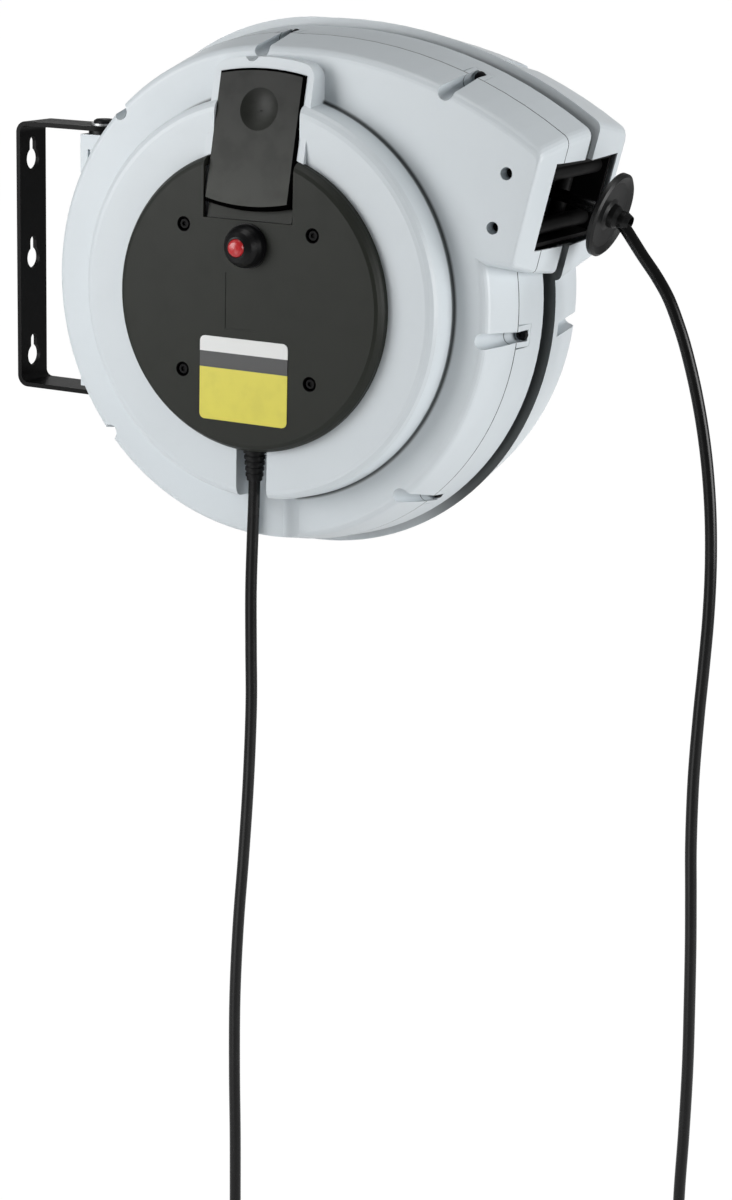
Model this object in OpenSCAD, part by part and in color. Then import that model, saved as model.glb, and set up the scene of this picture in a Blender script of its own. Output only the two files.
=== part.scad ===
// Wall-mounted spring-rewind cable reel.
// The case swivels on a U-shaped wall bracket, a spring-driven drum turns inside it, and the
// cable leaves through a roller mouth at the upper right.

/* [Bracket] */
// Width of the bracket strip
bracket_width = 36; // [32:1:44]
// Height of the bracket over its two arms
bracket_height = 212; // [204:1:236]
// Thickness of the bracket steel
bracket_steel = 3.5; // [3:0.5:5]
// Distance from the wall face to the swivel axis
pivot_reach = 71.5; // [70:0.5:90]
// How far the arms run past the swivel axis
arm_overrun = 15; // [12:0.5:18]
// Outer bend radius at the corners of the bracket
bracket_bend = 9; // [7:0.5:12]
// Vertical pitch of the keyhole slots
keyhole_pitch = 79; // [70:1:82]
// Diameter of the round end of a keyhole slot
keyhole_head = 17; // [13:0.5:18]
// Width of the narrow end of a keyhole slot
keyhole_neck = 8.5; // [6:0.1:9]
// Length from the centre of the round end to the centre of the narrow end
keyhole_throw = 13.2; // [12:0.2:17]
// Height of the bracket's middle above the round end of the middle keyhole
bracket_rise = 3.9; // [0:0.1:6]

/* [Swivel] */
// Diameter of the pivot bolt shank
pivot_bolt = 12; // [10:0.5:14]
// Running clearance on radius between bolt and bush
pivot_play = 0.05; // [0.03:0.01:0.1]
// Wall of the pivot bush
bush_wall = 2.5; // [2:0.1:3.5]
// Height of a swivel lug on the case
lug_height = 30; // [24:1:36]
// How far the swivel axis lies inside the radius of the rim
pivot_inset = 0.5; // [0:0.1:2]

/* [Case] */
// Depth of the moulded case from cheek to back wall
case_depth = 150; // [146:1:160]
// Rim radius at the seam behind the front cheek
case_radius = 190; // [187:0.5:196]
// How far the rim centre lies from the drum axis towards the wall
case_offset = 6; // [4:0.5:8]
// Height of the drum axis above the middle of the bracket
axis_rise = -2.2; // [-4:0.1:4]
// Wall of the moulded shells
wall = 3.2; // [2.6:0.1:3.6]
// Depth of the front shell from its cheek to the seam
seam_depth = 37; // [32:0.5:42]
// How much the rim narrows from the seam towards the cheek
front_taper = 7.4; // [5:0.2:9]
// Growth of the rim radius between seam and groove
rim_flare = 4; // [2:0.5:5]
// Growth of the rim radius between seam and the front edge of the rear shell
rear_flare = 10; // [7:0.5:11]
// Rounding of the front edge of the case
cheek_round = 5; // [4:0.5:7]
// Rounding of the rear edge of the case
back_round = 14; // [10:0.5:18]
// Width of the groove round the middle of the case
groove_width = 8; // [5:0.5:10]
// Depth of the groove round the middle of the case
groove_depth = 6; // [4.5:0.5:7]
// Radius of the screw flutes in the rim
flute_radius = 6; // [5.5:0.5:7]
// How far the heads of the rim screws lie behind the seam
flute_depth = 14.8; // [10:0.2:16]
// Gap left between mouldings that lie side by side
mould_gap = 0.3; // [0.2:0.05:0.5]

/* [Front boss and cover] */
// Radius of the raised boss at its foot
boss_radius = 150; // [146:0.5:154]
// Height of the raised boss over the cheek
boss_height = 26; // [22:0.5:30]
// Rounding of the boss edge
boss_round = 8; // [5:0.5:10]
// Radius of the front cover
cover_radius = 110.5; // [108:0.5:113]
// Height of the front cover over the boss
cover_height = 11; // [9.5:0.5:13]
// Spacing of the cover screws across and up
cover_pitch = 107.4; // [100:0.2:112]
// Height of the reset button above the drum axis
button_rise = 42; // [41:0.5:43]
// Diameter of the rubber boot round the reset button
boot_diameter = 33; // [30:0.5:34]
// Diameter of the reset button
button_diameter = 13; // [11:0.5:15]
// Travel of the reset button
button_travel = 2.5; // [1.5:0.1:3]
// Width of the label on the cover
label_width = 74; // [60:1:80]
// Height of the label on the cover
label_height = 62; // [50:1:64]
// Rounding of the label's corners
label_round = 4; // [2:0.5:6]

/* [Ratchet slider] */
// Width of the slider plate
slider_width = 70.4; // [66:0.2:72]
// Length of the slider plate
slider_length = 102; // [98:0.5:104]
// Thickness of the slider plate
slider_plate = 6; // [5:0.5:7]
// Slope of the slider plate against the case front
slider_slope = 13; // [12:0.5:14]
// Travel of the slider
slider_travel = 6; // [4:0.5:6.5]
// Width of the light frame beside the slider
slider_frame = 6; // [4:0.5:8]
// Diameter of the thumb dimple
dimple_diameter = 31; // [26:0.5:34]
// Depth of the thumb dimple
dimple_depth = 3.5; // [2:0.5:4]

/* [Outlet mouth] */
// How far the middle of the mouth lies outside the rim
spout_overhang = 22.9; // [20:0.1:26]
// Height of the middle of the mouth above the drum axis
mouth_rise = 79.2; // [76:0.1:82]
// Tilt of the mouth face
mouth_tilt = 13.3; // [11:0.1:15]
// Height of the mouth face below its middle
mouth_drop = 49.8; // [46:0.2:52]
// Width of the opening
opening_width = 107; // [104:0.5:109]
// Height of the opening
opening_height = 64.5; // [63:0.5:67]
// Radius of the arched top of the spout
spout_arc = 362; // [350:1:380]
// Distance across from the drum axis to the middle of the spout arch
spout_shift = 14.7; // [10:0.1:20]
// Diameter of a guide roller
roller_diameter = 12; // [10:0.5:13]
// Diameter of a roller pin
roller_pin = 4; // [3:0.5:5]
// Running clearance on radius between roller and pin
roller_play = 0.06; // [0.04:0.01:0.1]

/* [Drum] */
// Gap on radius between the drum flanges and the rim
flange_gap = 25; // [24:0.5:28]
// Width between the drum flanges
drum_width = 110; // [104:0.5:112]
// Thickness of a drum flange
flange_plate = 3; // [2.5:0.5:3.5]
// Outer radius of the hub that carries the cable
hub_radius = 104; // [100:0.5:106]
// Diameter of the axle
axle_diameter = 25; // [22:0.5:27]
// Running clearance on radius between axle and drum bush
axle_play = 0.05; // [0.03:0.01:0.1]
// Number of teeth of the ratchet ring
ratchet_teeth = 36; // [24:12:48]
// Tip radius of the ratchet ring
ratchet_radius = 140; // [138:0.5:140]
// Depth of the ratchet teeth
tooth_depth = 7; // [6:0.5:8]
// Turns of the mainspring
spring_turns = 9; // [6:1:11]
// Thickness of the mainspring strip
spring_strip = 1.2; // [0.8:0.1:1.6]

/* [Cords] */
// Diameter of the cords
cord_diameter = 9; // [8:0.1:9.2]
// Radius of the outer cable layer, to the middle of the cable
winding_radius = 130; // [128:0.5:132]
// Turns of the outer cable layer
winding_turns = 9; // [7:1:9]
// Diameter of the cable stop disc
stop_diameter = 63; // [56:1:66]

/* [Hidden] */

// Heights along the drum axis are counted forwards from the middle of the case.
front_z = case_depth / 2;
back_z = -case_depth / 2;
seam_z = front_z - seam_depth;
lip_z = groove_width / 2;
spigot_z = -groove_width / 2 - 8;
boss_z = front_z + boss_height;
cover_z = boss_z + cover_height;
case_draft = 0.03;
boss_draft = 0.1;
front_slope = front_taper / (seam_depth - cheek_round);
axis_reach = pivot_reach + case_radius + case_offset - pivot_inset;
flange_radius = case_radius - flange_gap;
round_step = 22.5;
through = 1;
clear = 0.3;
fine = 96;
small = 48;
tiny = 24;

// Spout
mouth_normal = [cos(mouth_tilt), -sin(mouth_tilt)];
mouth_up = [sin(mouth_tilt), cos(mouth_tilt)];
mouth_reach = case_radius - case_offset + spout_overhang;
arc_overlap = 1.2;
arc_distance = spout_arc - case_radius + arc_overlap;
arc_lean = spout_shift + case_offset;
arc_centre = [spout_shift, -sqrt(arc_distance * arc_distance - arc_lean * arc_lean)];
spout_left = spout_shift - spout_arc * arc_lean / arc_distance;
spout_root = [150, 100];
mouth_corner = 8;
foot_corner = 5;
arc_steps = 14;
face_share = 0.35;
outlet_z = -5;

// Flutes for the screws in the rim: from the front along the taper, from the back as open wells
flute_angles = [91.8, -5, -49.3, -139, 135];
spout_flute_angle = 69.6;
flute_inset = 2.5;
flute_tilt = 8.5;
flute_seat = seam_z - flute_depth;
flute_floor = flute_seat - wall;
well_inset = 7;
well_radius = flute_radius - 0.5;
column_radius = 6;
column_seat = spigot_z;
well_floor = column_seat - clear;
well_seat = well_floor - wall;
lip_foot = well_floor - wall / 2;
rim_screw_head = 4.6;
screw_head = 4.2;
screw_shank = 2;
screw_head_height = 3;
screw_recess = 1.6;
rim_screw_length = 14;

// Swivel lugs
lug_width = bracket_width - 2;
lug_play = 3;
lug_back = pivot_bolt / 2 + bush_wall + 3;
lug_top = bracket_height / 2 - bracket_steel - lug_play;
lug_inner = pivot_reach + 38;
lug_slot = [2.4, 2.5, 7];
arm_gap = 1;
bolt_head = 8.5;
bolt_head_height = 2;
bolt_dome = 1.2;

// Front cover
cover_edge = 5;
cover_wall = 3;
cover_notch = slider_width / 2 + 2;
badge_size = [26, 41];
badge_centre = [-4.7, 0.8];
badge_depth = 0.4;
cover_screw_recess = 4;
cover_hole = 4.6;
cover_post = 8;
face_opening = 62;
label_centre = [-1.5, -57.5];
label_arch = 170;
label_plate = 0.5;

// Slider
slider_foot = [68, cover_z + 2];
cover_notch_foot = slider_foot[0] - slider_travel - slider_plate * sin(slider_slope) - 2 * clear;
slider_head_arc = 172;
slider_foot_arc = 150;
slider_end = [slider_foot[0] + slider_length * cos(slider_slope),
              slider_foot[1] - slider_length * sin(slider_slope)];
pedestal_half = slider_width / 2 + slider_frame;
pedestal_top = slider_end[0] + 8;
pedestal_foot = 62;
pedestal_step = cover_radius + 2;
pedestal_round = 11;
peg_radius = 3;
peg_y = 152;
peg_z = 56;
peg_slot = 1;
dimple_y = 72.7;
slider_lip = 1;

// Drum
flange_front = outlet_z + drum_width / 2;
flange_rear = outlet_z - drum_width / 2;
bush_radius = axle_diameter / 2 + 3.5;
hub_wall = 4;
ratchet_z = flange_front + flange_plate;
ratchet_thick = 8;
ratchet_band = 8;
support_plate = 4;
support_collar = 6;
carrier_radius = 30;
ring_radius = 34;
ring_count = 3;
ring_foot = 8;
ring_room = boss_z - wall - clear - support_plate - support_collar - 2.5 - ring_foot - ratchet_z;
ring_pitch = ring_room / ring_count;
ring_width = 0.625 * ring_pitch;
ring_first = ratchet_z + ring_foot;
cassette_radius = hub_radius - hub_wall - clear;
cassette_front = -14;
cassette_rear = flange_rear + clear;
cassette_wall = 2;
arbor_radius = axle_diameter / 2 + 6;
spring_inner = arbor_radius + 4;
spring_outer = cassette_radius - cassette_wall - 3;
spring_steps = 24;

// Pawl
pawl_pivot = [24, 150];
pawl_z = ratchet_z + 1.5;
pawl_thick = 6;
pawl_pin_radius = 3;
pawl_play = 0.05;

// Boss and ribs inside the back of the case
back_boss = 22;
back_boss_top = flange_rear - flange_plate - 4;
rib = 3;

// Axle ends
axle_front = 95;
axle_back = back_z - 10;
support_z = boss_z - wall - clear;
support_hub = 22;
support_arm = 18;
nut_height = 7;
washer_height = 1.5;

// Roller frame, in the frame of the mouth
frame_back = -36;
frame_front = -wall - clear;
frame_half_width = 52;
frame_half_height = 31;
frame_wall = 3;
long_roller = [-13, 20];
short_roller = [-29, 38];
screw_boss = [-25.4, 19.9];
mouth_screw_seat = front_z - 12;

// Gland and supply lead
gland_z = front_z + 21;
gland_top = 6.5 - cover_radius;
gland_length = 30;
gland_big = 8;
gland_flange = 10.5;
gland_small = 5.8;
gland_ribs = 5;
channel_half = 13;
channel_floor = front_z - 4;
channel_foot = front_z - 9;
channel_flare = 27;
channel_start = 4 - boss_radius;

// Cable stop, measured outwards along the mouth normal
stop_out = 24.6;
stop_tilt = 4;
hub_ball = 6;

// Routes of the cords, from the drum axis: across, up, forwards
supply_route = [
    [0, -134, 96], [-1, -155, 96], [-2.5, -178, 96], [-4, -220, 96], [-4.5, -265, 96],
    [-5.2, -310, 96], [-7, -370, 96], [-9, -430, 96], [-11.3, -490, 96], [-12.6, -550, 96],
    [-12.8, -610, 96], [-11, -670, 96], [-9, -730, 96], [-7.5, -780, 96], [-6.5, -830, 96],
    [-6, -880, 96]
];
inner_route = [
    [81.9, 112.6, -9.8], [105, 106.8, -9.2], [130, 100.6, -8], [155, 93.6, -6.6], [180, 86.6, -5.4],
    [205, 80.3, -5], [218, 76.8, -5], [229, 73.5, -5]
];
outlet_route = [
    [237, 69.8, -5], [244.5, 63.8, -5], [252, 55, -5], [260.5, 44, -5], [272, 30.5, -5],
    [283.5, 15.5, -5], [293.5, -3, -5], [302, -20, -5], [310.5, -46, -5], [317, -75, -5],
    [321.5, -106, -5], [325, -140, -5], [327.3, -177, -5], [328, -215, -5], [326.5, -253, -5],
    [325, -292, -5], [325.3, -340, -5], [326.8, -390, -5], [328, -430, -5], [329, -472, -5],
    [330, -520, -5], [331, -570, -5], [332, -625, -5], [333, -680, -5], [334, -730, -5],
    [334, -780, -5]
];
cord_sides = 10;
winding_sides = 6;
winding_rings = 24;
winding_start = 69;

// ---------- placing ----------

// Front view frame: x across, y up, z forwards, on the drum axis at mid depth.
module reel() {
    translate([axis_reach, 0, bracket_rise + axis_rise]) rotate([90, 0, 0]) children();
}

// Frame of the mouth: x outwards, y up along the face, z forwards.
module mouth() {
    translate([mouth_reach, mouth_rise, outlet_z]) rotate([0, 0, -mouth_tilt]) children();
}

// Frame of the slider: y up along the plate, z out of its face.
module slope() {
    translate([0, slider_foot[0], slider_foot[1]]) rotate([-slider_slope, 0, 0]) children();
}

module polar(radius, angle) {
    translate([radius * cos(angle), radius * sin(angle), 0]) children();
}

function polar_point(radius, angle) = [radius * cos(angle), radius * sin(angle)];

// A closed solid through rings of equal point count.
module loft(rings) {
    n = len(rings[0]);
    m = len(rings);
    points = [for (ring = rings) for (p = ring) p];
    sides = [for (i = [0:m - 2]) for (j = [0:n - 1]) for (half = [0, 1])
        half == 0
            ? [i * n + j, (i + 1) * n + j, (i + 1) * n + (j + 1) % n]
            : [i * n + j, (i + 1) * n + (j + 1) % n, i * n + (j + 1) % n]];
    first = [[for (j = [0:n - 1]) j]];
    last = [[for (j = [n - 1:-1:0]) (m - 1) * n + j]];
    polyhedron(points, concat(first, last, sides), convexity = 6);
}

// ---------- case outline ----------

// Levels [height, growth] of the case outline, lowest first; t is the depth under the skin.
function front_levels(t) = concat(
    [[seam_z - (t > 0 ? through : 0), -t]],
    [for (a = [0:round_step:90])
        let (z = front_z - cheek_round + (cheek_round - t) * sin(a))
        [z, -front_slope * (z - seam_z) - cheek_round + (cheek_round - t) * cos(a)]]);

// Growth of the middle band at a given height
function band_growth(z) = rim_flare * (seam_z - z) / (seam_z - lip_z);

function band_levels() = [[lip_z, rim_flare], [seam_z - mould_gap, 0]];

function band_cavity() = [
    [spigot_z - through, rim_flare - groove_depth - wall],
    [lip_z + wall, rim_flare - groove_depth - wall],
    [lip_z + 2 * wall, band_growth(lip_z + 2 * wall) - wall],
    [seam_z + through, -wall]
];

function rear_levels(t) = concat(
    [for (a = [90:-round_step:0])
        let (z = back_z + back_round - (back_round - t) * sin(a))
        [z, case_draft * (z - back_z) - back_round + (back_round - t) * cos(a)]],
    [[-lip_z + (t > 0 ? through : 0), rear_flare - t]]);

function sleeve_levels(z0, z1, growth) = [[z0, growth], [z1, growth]];

// Centre of the rounded upper corner of the mouth for a given growth of the outline
function corner_centre(d) =
    let (start = [mouth_reach, mouth_rise] + (face_share * d - mouth_corner) * mouth_normal)
    let (w = start - arc_centre)
    let (along = w * mouth_up)
    let (reach = spout_arc + d - mouth_corner)
    start + (sqrt(along * along - w * w + reach * reach) - along) * mouth_up;

// Outline of the spout seen from the front
function spout_outline(d) =
    let (top = corner_centre(d))
    let (from_arc = top - arc_centre)
    let (turn = atan2(from_arc[1], from_arc[0]))
    let (left = acos((spout_left - arc_centre[0]) / (spout_arc + d)))
    let (foot_y = mouth_rise - mouth_drop * mouth_up[1] - d)
    let (face = [mouth_reach, mouth_rise] + (face_share * d - foot_corner) * mouth_normal)
    let (slide = (foot_y + foot_corner - face[1]) / mouth_up[1])
    let (foot = face + slide * mouth_up)
    concat(
        [[spout_root[0], foot_y]],
        [for (i = [0:3]) foot + foot_corner
            * [cos(-90 + i * (90 - mouth_tilt) / 3), sin(-90 + i * (90 - mouth_tilt) / 3)]],
        [for (i = [0:4]) top + mouth_corner
            * [cos(-mouth_tilt + i * (turn + mouth_tilt) / 4),
               sin(-mouth_tilt + i * (turn + mouth_tilt) / 4)]],
        [for (i = [1:arc_steps]) arc_centre + (spout_arc + d)
            * [cos(turn + i * (left - turn) / arc_steps),
               sin(turn + i * (left - turn) / arc_steps)]],
        [[spout_left, spout_root[1]]]);

module rim_solid(levels) {
    last = len(levels) - 1;
    translate([-case_offset, 0, 0])
        rotate_extrude($fn = fine)
            polygon(concat([[0, levels[0][0]]],
                [for (l = levels) [case_radius + l[1], l[0]]],
                [[0, levels[last][0]]]));
}

module spout_solid(levels) {
    loft([for (l = levels) [for (p = spout_outline(l[1])) [p[0], p[1], l[0]]]]);
}

module case_solid(levels) {
    rim_solid(levels);
    spout_solid(levels);
}

module mouth_opening() {
    mouth() cube([60, opening_height, opening_width], center = true);
}

function rim_point(radius, angle) = [-case_offset, 0] + polar_point(radius, angle);

// Places of the rim screws, with x pointing outwards, at a depth under the rim
module at_flutes(inset, z) {
    for (a = flute_angles)
        translate(concat(rim_point(case_radius - inset, a), [z])) rotate([0, 0, a]) children();
    translate(concat(arc_centre + polar_point(spout_arc - inset, spout_flute_angle), [z]))
        rotate([0, 0, spout_flute_angle]) children();
}

// Flutes that run from a height to the front along the taper of the rim
module front_flutes(radius, z) {
    intersection() {
        at_flutes(flute_inset, flute_seat) rotate([0, -flute_tilt, 0])
            translate([0, 0, -2 * wall]) cylinder(r = radius, h = case_depth, $fn = small);
        translate([-2 * case_radius, -2 * case_radius, z])
            cube([4 * case_radius, 4 * case_radius, case_depth]);
    }
}

// Wells that run from the back to a height and open through the rim
module rear_wells(radius, z0, z1) {
    at_flutes(well_inset, z0) {
        cylinder(r = radius, h = z1 - z0, $fn = small);
        translate([0, -radius, 0]) cube([6 * well_inset, 2 * radius, z1 - z0]);
    }
}

// ---------- bracket and swivel ----------

module keyhole() {
    circle(d = keyhole_head, $fn = small);
    translate([0, keyhole_throw / 2]) square([keyhole_neck, keyhole_throw], center = true);
    translate([0, keyhole_throw]) circle(d = keyhole_neck, $fn = small);
}

module bracket_profile() {
    half = bracket_height / 2;
    reach = pivot_reach + arm_overrun;
    difference() {
        union() {
            translate([bracket_bend, -half]) square([reach - bracket_bend, bracket_height]);
            translate([0, bracket_bend - half]) square([reach, bracket_height - 2 * bracket_bend]);
            for (side = [-1, 1])
                translate([bracket_bend, side * (half - bracket_bend)])
                    circle(r = bracket_bend, $fn = small);
        }
        inner = bracket_bend - bracket_steel;
        translate([bracket_bend, bracket_steel - half])
            square([reach, bracket_height - 2 * bracket_steel]);
        translate([bracket_steel, bracket_bend - half])
            square([reach, bracket_height - 2 * bracket_bend]);
        for (side = [-1, 1])
            translate([bracket_bend, side * (half - bracket_bend)])
                circle(r = inner, $fn = small);
    }
}

module wall_bracket() {
    color("#1c1c1c") difference() {
        translate([0, 0, bracket_rise]) intersection() {
            rotate([90, 0, 0]) linear_extrude(bracket_width, center = true) bracket_profile();
            union() {
                translate([-through, -bracket_width / 2, -bracket_height])
                    cube([pivot_reach + through, bracket_width, 2 * bracket_height]);
                translate([pivot_reach, 0, -bracket_height])
                    cylinder(r = bracket_width / 2, h = 2 * bracket_height, $fn = fine);
            }
        }
        for (i = [-1:1])
            translate([-through, 0, i * keyhole_pitch])
                rotate([90, 0, 90]) linear_extrude(bracket_steel + 2 * through) keyhole();
        translate([pivot_reach, 0, -bracket_height])
            cylinder(d = pivot_bolt, h = 2 * bracket_height, $fn = small);
    }
}

// One upper piece of the swivel and its mirror image below
module swivel_pair() {
    translate([pivot_reach, 0, bracket_rise]) for (side = [0, 1]) mirror([0, 0, side]) children();
}

module pivot_bolts() {
    top = bracket_height / 2;
    color("#202022") swivel_pair() {
        translate([0, 0, top + washer_height]) {
            cylinder(r = bolt_head, h = bolt_head_height, $fn = small);
            translate([0, 0, bolt_head_height])
                cylinder(r1 = bolt_head, r2 = bolt_head - 2, h = bolt_dome, $fn = small);
        }
        translate([0, 0, lug_top - lug_height + 2])
            cylinder(d = pivot_bolt, h = top + washer_height - lug_top + lug_height - 2, $fn = small);
    }
}

module pivot_washers() {
    color("#8d8f91") swivel_pair()
        translate([0, 0, bracket_height / 2]) difference() {
            cylinder(r = 10.5, h = washer_height, $fn = small);
            translate([0, 0, -through])
                cylinder(d = pivot_bolt, h = washer_height + 2 * through, $fn = small);
        }
}

module pivot_bushes() {
    outer = pivot_bolt / 2 + bush_wall;
    color("#191919") swivel_pair() difference() {
        union() {
            translate([0, 0, lug_top - lug_height + 4]) cylinder(r = outer, h = lug_height - 4, $fn = small);
            translate([0, 0, lug_top]) cylinder(r = outer + 4, h = lug_play - 0.2, $fn = small);
        }
        translate([0, 0, lug_top - lug_height])
            cylinder(r = pivot_bolt / 2 + pivot_play, h = lug_height + lug_play + through, $fn = small);
    }
}

// ---------- case ----------

// Height of the floor of the slider pocket at a given height above the drum axis
function slider_floor(y) =
    slider_foot[1] - (y - slider_foot[0]) * tan(slider_slope) - slider_plate - wall / 2;

// Side profile of the pedestal under the slider, in up and forward values
function pedestal_side(z, drop) = [
    [pedestal_foot, z],
    [pedestal_top + through, z],
    [pedestal_top + through, slider_foot[1] - (pedestal_top + through - slider_foot[0])
        * tan(slider_slope) - drop],
    [pedestal_foot, slider_foot[1] + (slider_foot[0] - pedestal_foot) * tan(slider_slope) - drop]
];

// Front view of the pedestal, with rounded upper corners
module pedestal_front(inset) {
    half = pedestal_half - inset;
    top = pedestal_top - inset;
    round = pedestal_round - inset;
    level = sqrt((top - round) * (top - round) - (half - round) * (half - round));
    translate([-half, 0]) square([2 * half, level]);
    intersection() {
        circle(r = top, $fn = fine);
        polygon([[0, 0], [2 * (half - round), 2 * level], [-2 * (half - round), 2 * level]]);
    }
    for (side = [-1, 1]) translate([side * (half - round), level]) circle(r = round, $fn = small);
}

module pedestal_block(z, drop, inset) {
    intersection() {
        rotate([90, 0, 90]) linear_extrude(2 * pedestal_half, center = true)
            polygon(pedestal_side(z, drop));
        translate([0, 0, z - through]) linear_extrude(3 * boss_height) pedestal_front(inset);
    }
}

module slider_outline(play) {
    intersection() {
        translate([-slider_width / 2 - play, -slider_travel - play])
            square([slider_width + 2 * play, slider_length + slider_travel + 2 * play]);
        translate([0, slider_length - slider_head_arc]) circle(r = slider_head_arc + play, $fn = fine);
    }
}

module boss_solid(t) {
    top = boss_z - t;
    foot = front_z - (t > 0 ? wall + through : wall / 2);
    edge = boss_round - t;
    shoulder = boss_radius - boss_draft * (boss_height - boss_round) - boss_round;
    rotate_extrude($fn = fine) polygon(concat(
        [[0, foot], [boss_radius - t, foot], [boss_radius - t, front_z]],
        [for (a = [0:round_step:90])
            [shoulder + edge * cos(a), boss_z - boss_round + edge * sin(a)]],
        [[0, top]]));
}

// Run-out of the cord channel through the rim, with one sloping side
module channel_end(half, foot, flare, start) {
    translate([0, start, 0]) rotate([90, 0, 0]) linear_extrude(case_radius) polygon([
        [-half, foot], [half - 5, foot], [flare, front_z], [flare, front_z + 2 * boss_height],
        [-half, front_z + 2 * boss_height]]);
}

module front_outer() {
    case_solid(front_levels(0));
    boss_solid(0);
    pedestal_block(front_z - wall / 2, slider_lip, 0);
}

module front_shell() {
    color("#d2d6d9") reel() difference() {
        union() {
            difference() {
                front_outer();
                case_solid(front_levels(wall));
                boss_solid(wall);
                intersection() {
                    pedestal_block(front_z - wall - through, slider_lip + slider_plate + wall + 1, wall);
                    translate([-pedestal_half, pedestal_step, 0]) cube([2 * pedestal_half, 100, 200]);
                }
            }
            // floor under the slider's pocket, behind the face of the boss
            translate([-pedestal_half, pedestal_step - 24, boss_z - 3 * wall])
                cube([2 * pedestal_half, 24 + wall, 3 * wall - through]);
            // sleeves round the flutes, which reach into the middle band
            intersection() {
                front_flutes(flute_radius + wall, flute_floor);
                union() {
                    case_solid(front_levels(0));
                    case_solid([[flute_floor - through, band_growth(flute_floor - through)], [seam_z, 0]]);
                }
            }
            // wells of the two screws beside the mouth
            for (side = [-1, 1]) mouth()
                translate([screw_boss[0], side * screw_boss[1], mouth_screw_seat - wall - outlet_z])
                    cylinder(r = 7.5, h = 12 + wall - through, $fn = small);
            // walls of the cord channel
            intersection() {
                front_outer();
                union() {
                    translate([-channel_half - wall, channel_start, channel_floor - wall])
                        cube([2 * (channel_half + wall), gland_top - channel_start, 2 * boss_height]);
                    channel_end(channel_half + wall, channel_foot - wall, channel_flare + wall, channel_start + wall);
                }
            }
            // bosses behind the cover screws
            for (x = [-1, 1]) for (y = [-1, 1])
                translate([x * cover_pitch / 2, y * cover_pitch / 2, boss_z - wall])
                    cylinder(r = cover_post, h = wall, $fn = small);
            // boss that carries the pawl pin
            translate([pawl_pivot[0], pawl_pivot[1], pawl_z + pawl_thick + clear])
                cylinder(r = 6, h = slider_floor(pawl_pivot[1] + 6) - pawl_z - pawl_thick - clear, $fn = small);
        }
        // flutes and their screw holes
        front_flutes(flute_radius, flute_seat);
        at_flutes(flute_inset, flute_floor - through)
            cylinder(r = screw_shank + 0.2, h = wall + 2 * through, $fn = tiny);
        // face opening behind the cover
        translate([0, 0, boss_z - 2 * wall]) cylinder(r = face_opening, h = 4 * wall, $fn = fine);
        for (x = [-1, 1]) for (y = [-1, 1])
            translate([x * cover_pitch / 2, y * cover_pitch / 2, boss_z - 2 * wall])
                cylinder(r = screw_shank + 0.2, h = 4 * wall, $fn = tiny);
        // room for the cover over the pedestal
        translate([0, 0, boss_z]) cylinder(r = cover_radius + clear, h = 60, $fn = fine);
        // pocket of the slider and the slot for its peg
        slope() translate([0, 0, -slider_plate - clear]) linear_extrude(40) slider_outline(clear);
        translate([-peg_radius - peg_slot, peg_y - 7 - peg_radius, front_z - 2 * wall])
            cube([2 * (peg_radius + peg_slot), 2 * peg_radius + 9, 60]);
        // mouth, wells, channel and gland
        mouth_opening();
        for (side = [-1, 1]) mouth()
            translate([screw_boss[0], side * screw_boss[1], mouth_screw_seat - outlet_z]) {
                cylinder(r = screw_head + 0.4, h = 40, $fn = small);
                translate([0, 0, -2 * wall]) cylinder(r = screw_shank + 0.2, h = 3 * wall, $fn = tiny);
            }
        translate([-channel_half, channel_start, channel_floor])
            cube([2 * channel_half, gland_top - wall - channel_start, 2 * boss_height]);
        channel_end(channel_half, channel_foot, channel_flare, channel_start);
        translate([0, gland_top, gland_z]) rotate([90, 0, 0]) {
            translate([0, 0, -4 - clear]) cylinder(r = gland_flange + clear, h = 4.2 + clear, $fn = small);
            translate([0, 0, -through]) cylinder(r = gland_big + 0.2, h = 12, $fn = small);
        }
        // hole of the pawl pin
        translate([pawl_pivot[0], pawl_pivot[1], 0])
            cylinder(r = pawl_pin_radius, h = front_z - wall / 2, $fn = tiny);
    }
}

// Swivel lugs, in the frame of the part
module lugs(grow) {
    translate([0, 0, bracket_rise]) for (side = [0, 1]) mirror([0, 0, side])
        translate([pivot_reach - lug_back - grow, -lug_width / 2 - grow, lug_top - lug_height - grow])
            cube([lug_inner - pivot_reach + lug_back + 2 * grow, lug_width + 2 * grow,
                lug_height + 2 * grow]);
}

// Room in the case for the round ends of the bracket as the case swings
module arm_room() {
    swivel_pair() translate([0, 0, lug_top + clear])
        cylinder(r = bracket_width / 2 + arm_gap, h = bracket_height / 2, $fn = fine);
}

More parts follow.
